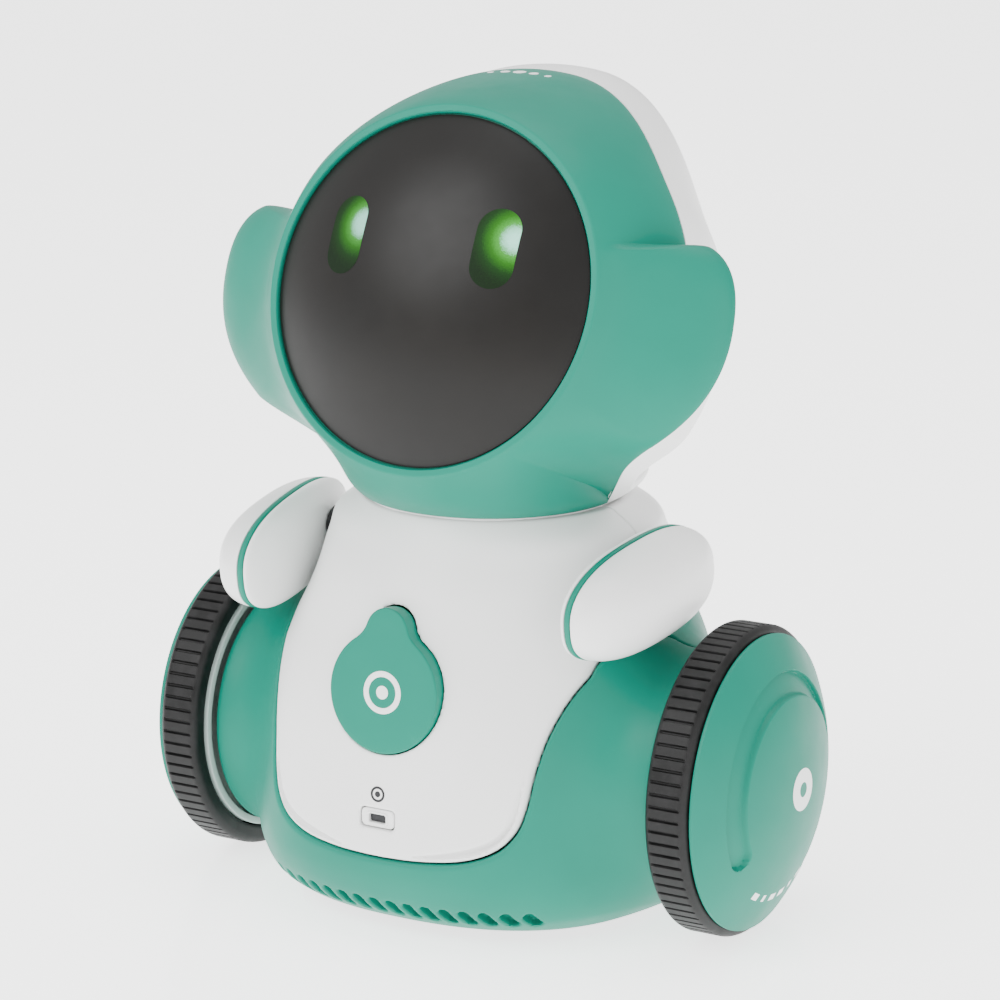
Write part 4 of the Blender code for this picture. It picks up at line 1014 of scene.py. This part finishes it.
def rear_meridian(theta, ts):
    """White rear shell from the seam or the neck to the rear pole."""
    end_theta, end_radius, end_n = head_end(theta, False)
    start = head_point(end_theta, end_radius, end_n)
    pole = head_point(theta, 0.0, REAR_N)
    radial = radial_at(theta)
    share = neck_share(theta)
    outwards = Vector((start.x, start.y - NECK_Y, 0.0)).normalized()
    leave_neck = outwards * REAR_NECK_OUT + Vector((0.0, 0.0, REAR_NECK_UP))
    crown = eased(math.degrees(theta), 33.0, 49.0)
    leave_seam = (radial * (REAR_SEAM_OUT_CROWN * crown - REAR_SEAM_IN)
                  - AXIAL * (REAR_SEAM_BACK + REAR_SEAM_BACK_CROWN * crown))
    leave = start + leave_seam * (1.0 - share) + leave_neck * share
    out = REAR_POLE_OUT + REAR_POLE_OUT_CROWN * crown + REAR_POLE_OUT_NECK * share
    arrive = pole + radial * out
    ear = ear_rise(theta) * max(0.0, 1.0 - share)
    points = []
    for t in ts:
        point = bezier(start, leave, arrive, pole, t)
        n = head_polar(point)[2]
        fall = max(0.0, 1.0 - (SEAM_N - n) / EAR_TAPER) ** 2
        points.append(point + radial * ear * fall)
    return points


def helmet_angles():
    """Half the polar angles, crown to chin, closest together at the ear's top."""
    top = np.linspace(90.0, EAR_TOP_DEG + 1.0, 48, endpoint=False)
    crease = np.linspace(EAR_TOP_DEG + 1.0, EAR_TOP_DEG - 3.0, 20, endpoint=False)
    ear = np.linspace(EAR_TOP_DEG - 3.0, SEAM_LOW_DEG, 44, endpoint=False)
    side = math.degrees(SIDE_THETA)
    low = np.linspace(SEAM_LOW_DEG, side, 30, endpoint=False)
    chin = np.linspace(side, -90.0, 60)
    return np.radians(np.concatenate((top, crease, ear, low, chin)))


def helmet_rows(meridian, ts):
    """Closed rows across the whole helmet, its right half mirrored from the left."""
    half = np.array([meridian(theta, ts) for theta in helmet_angles()])
    other = half[1:-1][::-1] * (-1.0, 1.0, 1.0)
    return np.concatenate((half, other)).transpose(1, 0, 2)


def walled(name, rows, wall, rounding, material, centre, body, nodes, slot, pole=False):
    """Closed shell: outer rows, an inner copy a wall away and rounded edges between."""
    inward = centre - rows
    inner = rows + inward / np.linalg.norm(inward, axis=-1, keepdims=True) * wall
    edge = []
    for k in range(1, 4):
        t = k / 4.0
        bulge = math.sin(math.pi * t) * rounding
        outwards = rows[0] - rows[1]
        outwards /= np.linalg.norm(outwards, axis=-1, keepdims=True)
        edge.append(rows[0] * (1 - t) + inner[0] * t + outwards * bulge)
    loop = [*rows, *([] if pole else [0.5 * (rows[-1] + inner[-1])]), *inner[::-1], *edge[::-1]]
    return swept(name, np.array(loop), material, body, close_rows=True, nodes=nodes, slot=slot,
                 smooth_deg=38.0)


def head_matrix():
    """Local X leaves through the visor, local Z runs up the slope."""
    up = Vector((0.0, math.sin(HEAD_TILT), math.cos(HEAD_TILT)))
    return axes_at(head_point(0.0, 0.0, 0.0), AXIAL, up.cross(AXIAL), up)


HEAD = head_matrix()
DOME_SPHERE = ((VISOR_R - GAP) ** 2 + VISOR_DOME ** 2) / (2.0 * VISOR_DOME)


def dome_axial(radius):
    """Visor surface: distance along the axis at this radius."""
    return RIM_N - 0.6 + VISOR_DOME - DOME_SPHERE + np.sqrt(DOME_SPHERE ** 2 - radius ** 2)


def make_head():
    """Both helmet shells, the neck skirt, the visor, the eyes and the crown's marks."""
    centre = np.array(head_point(0.0, 0.0, 25.0))
    ts = np.concatenate((np.linspace(0.0, 0.2, 10, endpoint=False), np.linspace(0.2, 0.995, 34)))
    rows = helmet_rows(front_meridian, ts)
    theta = [head_polar(Vector(p))[0] for p in rows[0]]
    lip = []
    for radius, n in ((VISOR_R, RIM_N - 2.6), (VISOR_R, RIM_N - 0.5), (VISOR_R + 0.08, RIM_N - 0.2),
                      (VISOR_R + 0.3, RIM_N), (VISOR_R + RIM_BAND - 0.3, RIM_N)):
        lip.append([head_point(a, radius, n) for a in theta])
    start = np.array([head_point(a, VISOR_R + RIM_BAND, RIM_N) for a in theta])
    rows[0] = start * 0.6 + rows[1] * 0.3 + np.array(lip[-1]) * 0.1
    rows = np.concatenate((np.array(lip), rows))
    walled("helmet_front", rows, HELMET_WALL, 0.0, GREEN, centre, "head", ("head_front_shell",),
           "green_plastic")
    ts = np.concatenate((np.linspace(0.004, 0.12, 16, endpoint=False), np.linspace(0.12, 1.0, 44)))
    rows = helmet_rows(rear_meridian, ts)
    walled("helmet_rear", rows, HELMET_WALL, 0.2, WHITE, centre, "head", ("head_rear_shell",),
           "white_plastic", pole=True)
    skirt = rounded_profile(((75.8, 21.9), (75.8, 23.9), (77.3, 23.9), (77.3, 21.9)), 0.2, 3)
    turned_piece("helmet_neck_skirt", skirt, WHITE, "head", 128,
                 Matrix.Translation((0.0, NECK_Y, 0.0)) @ UPRIGHT)
    make_visor()
    make_eyes()
    make_crown_marks()


def make_visor():
    """Domed window, hollow behind."""
    radius = (VISOR_R - GAP) * np.sin(np.linspace(0.0, math.pi / 2.0, 40))
    outer = [(dome_axial(r), r) for r in radius]
    inner = [(dome_axial(r) - 2.0, r * 0.985) for r in radius[::-1]]
    edge = [(RIM_N - 1.2, VISOR_R - GAP), (RIM_N - 2.4, VISOR_R - GAP - 0.3)]
    turned_piece("visor_dome", outer + edge + inner, VISOR, "head", 160, HEAD, closed=False,
                 nodes=("visor",), slot="smoked_lens")


def make_eyes():
    """Lit windows that follow the visor's curve."""
    for word, side in SIDES:
        centre = Vector((dome_axial(math.hypot(EYE_X, EYE_RISE)), side * EYE_X, EYE_RISE))
        hot = HEAD @ (centre + Vector((0.0, 3.6, 2.2)))
        glow = glow_material("eye_glow_" + word, hot, 1.0 if side > 0.0 else 0.72)
        rows = []
        for level, shares in ((0.04, (0.0, 0.3, 0.6, 0.85, 0.97)), (-0.4, (0.97, 0.6, 0.3, 0.0))):
            for share in shares:
                u, v = outline_points(
                    lambda p, q: rounded_rect(p, q, EYE_HALF_WIDTH, EYE_HALF_HEIGHT,
                                              EYE_HALF_WIDTH - 0.01), 96)
                y, z = side * EYE_X + u * share, EYE_RISE + v * share
                rows.append(stacked(dome_axial(np.hypot(y, z)) + level, y, z))
        rows = transformed(np.array(rows), HEAD)
        swept("eye_" + word, rows, glow, "head", nodes=("eye_lens_" + word,), slot="eye_lens")


def make_crown_marks():
    """Row of graded white marks printed on the crown."""
    for k, size in enumerate((0.7, 0.95, 1.25, 0.95, 0.7)):
        x = (k - 2) * 3.3
        theta = math.pi / 2.0 - x / (HEAD_BASE_R + CROWN_RISE)
        surface = front_meridian(theta, (0.72,))[0]
        ahead = (front_meridian(theta, (0.70,))[0] - front_meridian(theta, (0.74,))[0]).normalized()
        side = Vector((1.0, 0.0, 0.0))
        out = ahead.cross(side).normalized()
        if out.z < 0.0:
            out = -out
        place = axes_at(surface, side, out.cross(side), out)
        dot("crown_mark_%d" % (k + 1), size, -0.3, 0.06, 0.03, place, PRINT, "head", 48)


# ---------------------------------------------------------------- arms

def arm_loop(x, grow, turns=112):
    """Outline of the arm's pebble form in the plane at local x."""
    away = (x - STRIPE_X) / ARM_OUTER_DOME
    if x < STRIPE_X:
        away = (STRIPE_X - ARM_INNER_FLAT - x) / (ARM_INNER_DOME - ARM_INNER_FLAT)
    scale = (1.0 - min(1.0, max(0.0, away)) ** DOME_CORNER) ** (1.0 / DOME_CORNER)
    a = full_turn(turns)

    def power(value):
        return np.sign(value) * np.abs(value) ** (2.0 / ARM_CORNER)

    return stacked(x, max(0.0, ARM_LENGTH / 2.0 * scale + grow) * power(np.cos(a)),
                   max(0.0, ARM_HALF_HEIGHT * scale + grow) * power(np.sin(a)))


def arm_part(x0, dome):
    """Loops from a cut plane at x0, with its edge rounded, out to the dome's pole."""
    toward = math.copysign(1.0, dome)
    loops = [arm_loop(x0 + toward * 0.3, -30.0), arm_loop(x0, -0.9), arm_loop(x0, -0.3),
             arm_loop(x0 + toward * 0.1, -0.08)]
    first = math.asin((x0 + toward * 0.3 - STRIPE_X) / dome)
    for k in range(33):
        turn = first + (math.pi / 2.0 - first) * k / 32
        loops.append(arm_loop(STRIPE_X + dome * math.sin(turn), 0.0))
    loops[0][:, 0] = x0
    return np.array(loops)


def make_arm(word, side):
    """White outer and inner shells, the green band between them and the dark collar."""
    place = (Matrix.Translation((side * ARM_X, 0.0, SHOULDER_Z))
             @ Matrix.Rotation(ARM_PITCH, 4, "X") @ Matrix.Rotation(-side * ARM_TOE, 4, "Z")
             @ Matrix.Translation((0.0, -ARM_SHOULDER_BACK, 0.0)))
    low, high = STRIPE_X - STRIPE_HALF, STRIPE_X + STRIPE_HALF
    body = "arm_" + word
    mirror = np.array((side, 1.0, 1.0))
    for name, loops in (("outer", arm_part(high + 0.1, ARM_OUTER_DOME)),
                        ("inner", arm_part(low - 0.1, -ARM_INNER_DOME))):
        swept("arm_%s_%s" % (word, name), transformed(loops * mirror, place), WHITE, body,
              nodes=("arm_%s_%s_shell" % (word, name),), slot="white_plastic")
    profile = ((low, -30.0), (low, -0.6), (low, -0.1), (low + 0.12, 0.06), (high - 0.12, 0.06),
               (high, -0.1), (high, -0.6), (high, -30.0))
    loops = np.array([arm_loop(x, grow) for x, grow in profile])
    swept("arm_%s_band" % word, transformed(loops * mirror, place), GREEN, body,
          nodes=("arm_%s_stripe" % word,), slot="green_plastic", smooth_deg=60.0)
    collar = rounded_profile(((31.0, 0.0), (31.0, 4.2), (34.6, 3.6), (34.6, 0.0)), 0.5, 4, False)
    turned_piece("arm_%s_collar" % word, collar, DARK, body, 64, outward(side, SHOULDER_Z),
                 closed=False)


# ---------------------------------------------------------------- wheels

def tread_columns():
    """Angles round the tyre, six to a pad, and how deep the groove is at each."""
    pitch = 2.0 * math.pi / TREAD_PADS
    shares = ((0.0, 1.0), (0.055, 1.0), (0.15, 0.0), (0.5, 0.0), (0.85, 0.0), (0.945, 1.0))
    turn, depth = [], []
    for k in range(TREAD_PADS):
        for share, cut in shares:
            turn.append((k + share) * pitch)
            depth.append(cut)
    return np.array(turn), np.array(depth)


def make_tyre(word, side):
    """Black tyre: smooth walls, and a tread of bars parted by narrow grooves."""
    turn, groove = tread_columns()
    inner, outer = TYRE_INNER_X, TYRE_OUTER_X
    shoulder = rounded_profile(((inner, TYRE_BORE_R), (inner, WHEEL_R - 1.0), (inner + 0.9, WHEEL_R),
                                (outer - 0.9, WHEEL_R), (outer, WHEEL_R - 1.0),
                                (outer, TYRE_BORE_R)), 0.8, 5)
    top = [i for i, (x, r) in enumerate(shoulder) if r > WHEEL_R - 0.02]
    low, high = shoulder[top[0]][0], shoulder[top[-1]][0]
    start, end = inner + 1.15, outer - 1.15
    band = [(x, WHEEL_R, c) for x, c in (
        (start - 0.12, 0.0), (start, 0.45), (start + 0.22, 0.85), (start + 0.55, 1.0),
        (0.5 * (start + end), 1.0), (end - 0.55, 1.0), (end - 0.22, 0.85), (end, 0.45),
        (end + 0.12, 0.0))]
    full = [(x, r, 0.0) for x, r in shoulder[:top[0]]]
    full += [b for b in band if low < b[0] < high]
    full += [(x, r, 0.0) for x, r in shoulder[top[-1] + 1:]]
    rows = [ring(x, r - TREAD_DEPTH * cut * groove, turn) for x, r, cut in full]
    swept("tyre_tread_" + word, transformed(np.array(rows), outward(side)), RUBBER,
          "wheel_" + word, close_rows=True, nodes=("tyre_" + word,), slot="rubber",
          smooth_deg=28.0)


def hubcap_groove(radius, turn):
    """Depth share of the curved recess, from its round lower end over the top."""
    start, end = math.radians(208.0), math.radians(12.0)
    taper = np.clip((turn - end) / math.radians(70.0), 0.0, 1.0)
    half = 2.05 * (0.35 + 0.65 * smooth_step(taper))
    within = np.abs(radius - HUBCAP_GROOVE_R)
    past = np.maximum(turn - start, 0.0) + np.maximum(end - turn, 0.0)
    away = np.hypot(within, past * HUBCAP_GROOVE_R) - half
    return smooth_step(-away / 0.5 + 0.5) * smooth_step(taper * 3.0 + 0.15)


def dome_x(radius):
    """How far out the hubcap's dome stands at this radius."""
    return HUBCAP_X + HUBCAP_DOME - HUBCAP_SPHERE + math.sqrt(HUBCAP_SPHERE ** 2 - radius * radius)


def dome_patch(name, word, side, radii, first, last, steps):
    """Thin printed patch on the hubcap's dome between two radii and two angles."""
    turn = np.linspace(first, last, steps)
    loop = []
    for lift, pick in ((0.02, radii), (-0.3, radii[::-1])):
        loop += [ring(dome_x(r) + lift, r, turn) for r in pick]
    loop = np.array(loop).transpose(1, 0, 2) * (side, 1.0, 1.0) + (0.0, 0.0, WHEEL_R)
    whole = abs(last - first) > 6.2
    if whole:
        loop = loop[:-1]
    swept(name, loop, PRINT, "wheel_" + word, close_rows=whole, caps=not whole)


def make_hubcap(word, side):
    """Domed green cap with a curved recess, seen from outside with the front at the left."""
    radii = np.concatenate((np.linspace(0.0, 15.5, 12, endpoint=False),
                            np.linspace(15.5, 22.5, 56, endpoint=False),
                            np.linspace(22.5, HUBCAP_R - 0.25, 10)))
    turn = full_turn(288)
    rows = [ring(dome_x(r) - HUBCAP_GROOVE_DEPTH * hubcap_groove(r, turn), r, turn)
            for r in radii]
    rim = ((0.05, 0.05), (-0.2, 0.0), (-0.6, 0.1), (-0.65, 1.4), (0.2, 1.7))
    rows += [ring(HUBCAP_X + out, HUBCAP_R - inset, turn) for out, inset in rim]
    rows += [ring(dome_x(r) - HUBCAP_WALL, r, turn) for r in np.linspace(HUBCAP_R - 2.2, 0.0, 16)]
    rows = np.array(rows) * (side, 1.0, 1.0) + (0.0, 0.0, WHEEL_R)
    swept("hubcap_dome_" + word, rows, GREEN, "wheel_" + word, nodes=("hubcap_" + word,),
          slot="green_plastic")
    dome_patch("hubcap_mark_" + word, word, side, (1.4, 4.0), 0.0, 2.0 * math.pi, 65)
    for k in range(9):
        middle = math.radians(243.0 + 10.0 * k)
        half = math.radians(1.5 + 1.5 * (k % 3 != 1))
        dome_patch("hubcap_dash_%s_%d" % (word, k + 1), word, side, (20.2, 21.5),
                   middle - half, middle + half, 6)


def make_rim(word, side):
    """Grey rim: hub, web and the drum that carries the tyre."""
    corners = ((50.8, 1.8), (50.8, 5.0), (52.6, 5.0), (52.6, 23.6), (48.1, 23.6), (48.1, 25.1),
               (56.6, 25.1), (56.6, 23.6), (54.4, 23.6), (54.4, 5.0), (56.4, 5.0), (56.4, 1.8))
    turned_piece("wheel_rim_" + word, rounded_profile(corners, 0.3, 3), GREY, "wheel_" + word, 144,
                 outward(side), nodes=("rim_" + word,), slot="grey_plastic", smooth_deg=30.0)


# ---------------------------------------------------------------- studio

def make_floor():
    """Pale studio floor with a faint gloss, big enough to reach the horizon."""
    mesh = bpy.data.meshes.new("studio_floor")
    half = 6.0
    mesh.from_pydata([(-half, -half, 0), (half, -half, 0), (half, half, 0), (-half, half, 0)],
                     [], [(0, 1, 2, 3)])
    floor = bpy.data.objects.new("studio_floor", mesh)
    bpy.context.scene.collection.objects.link(floor)
    look = Surface("studio_floor_white")
    tone = look.ramp(look.noise(3.0), ((0.3, (0.90, 0.905, 0.90)), (0.7, (0.92, 0.92, 0.92))))
    look.shade({"Base Color": tone, "Roughness": 0.16, "Emission Color": tone,
                "Emission Strength": FLOOR_GLOW})
    mesh.materials.append(look.mat)


def area_light(name, location, size, energy):
    """Round soft light aimed at the robot's middle."""
    light = bpy.data.lights.new(name, "AREA")
    light.shape = "DISK"
    light.size = size
    light.energy = energy
    obj = bpy.data.objects.new(name, light)
    obj.location = location
    aim = Vector(LIGHTS_AIM) - Vector(location)
    obj.rotation_euler = aim.to_track_quat("-Z", "Y").to_euler()
    bpy.context.scene.collection.objects.link(obj)


def make_studio():
    """Floor, even surroundings and three lights; lengths in metres, energy in watts."""
    make_floor()
    world = bpy.data.worlds.new("studio")
    bpy.context.scene.world = world
    world.use_nodes = True
    background = world.node_tree.nodes["Background"]
    background.inputs["Color"].default_value = (1.0, 1.0, 1.0, 1.0)
    background.inputs["Strength"].default_value = 1.1
    for name, location, size, energy in (("key", (-0.45, -0.85, 0.85), 0.9, 12.0),
                                         ("fill", (0.9, -0.45, 0.35), 0.8, 3.0),
                                         ("top", (0.0, 0.15, 1.0), 0.8, 5.0)):
        area_light(name, location, size, energy)


def make_camera():
    """Camera at the reference viewing angle."""
    data = bpy.data.cameras.new("camera")
    data.lens = 128.5
    data.sensor_width = 36.0
    camera = bpy.data.objects.new("camera", data)
    back = Vector((0.48924, -0.83996, 0.23476)).normalized()
    camera.location = (0.33052, -0.56355, 0.23303)
    right = Vector((-back.y, back.x, 0.0)).normalized()
    up = back.cross(right)
    camera.rotation_euler = Matrix((right, up, back)).transposed().to_euler()
    bpy.context.scene.collection.objects.link(camera)
    bpy.context.scene.camera = camera


make_camera()
make_studio()
dress_cad_nodes()
make_body()
make_chest()
make_head()
for word, side in SIDES:
    make_arm(word, side)
    make_tyre(word, side)
    make_hubcap(word, side)
    make_rim(word, side)
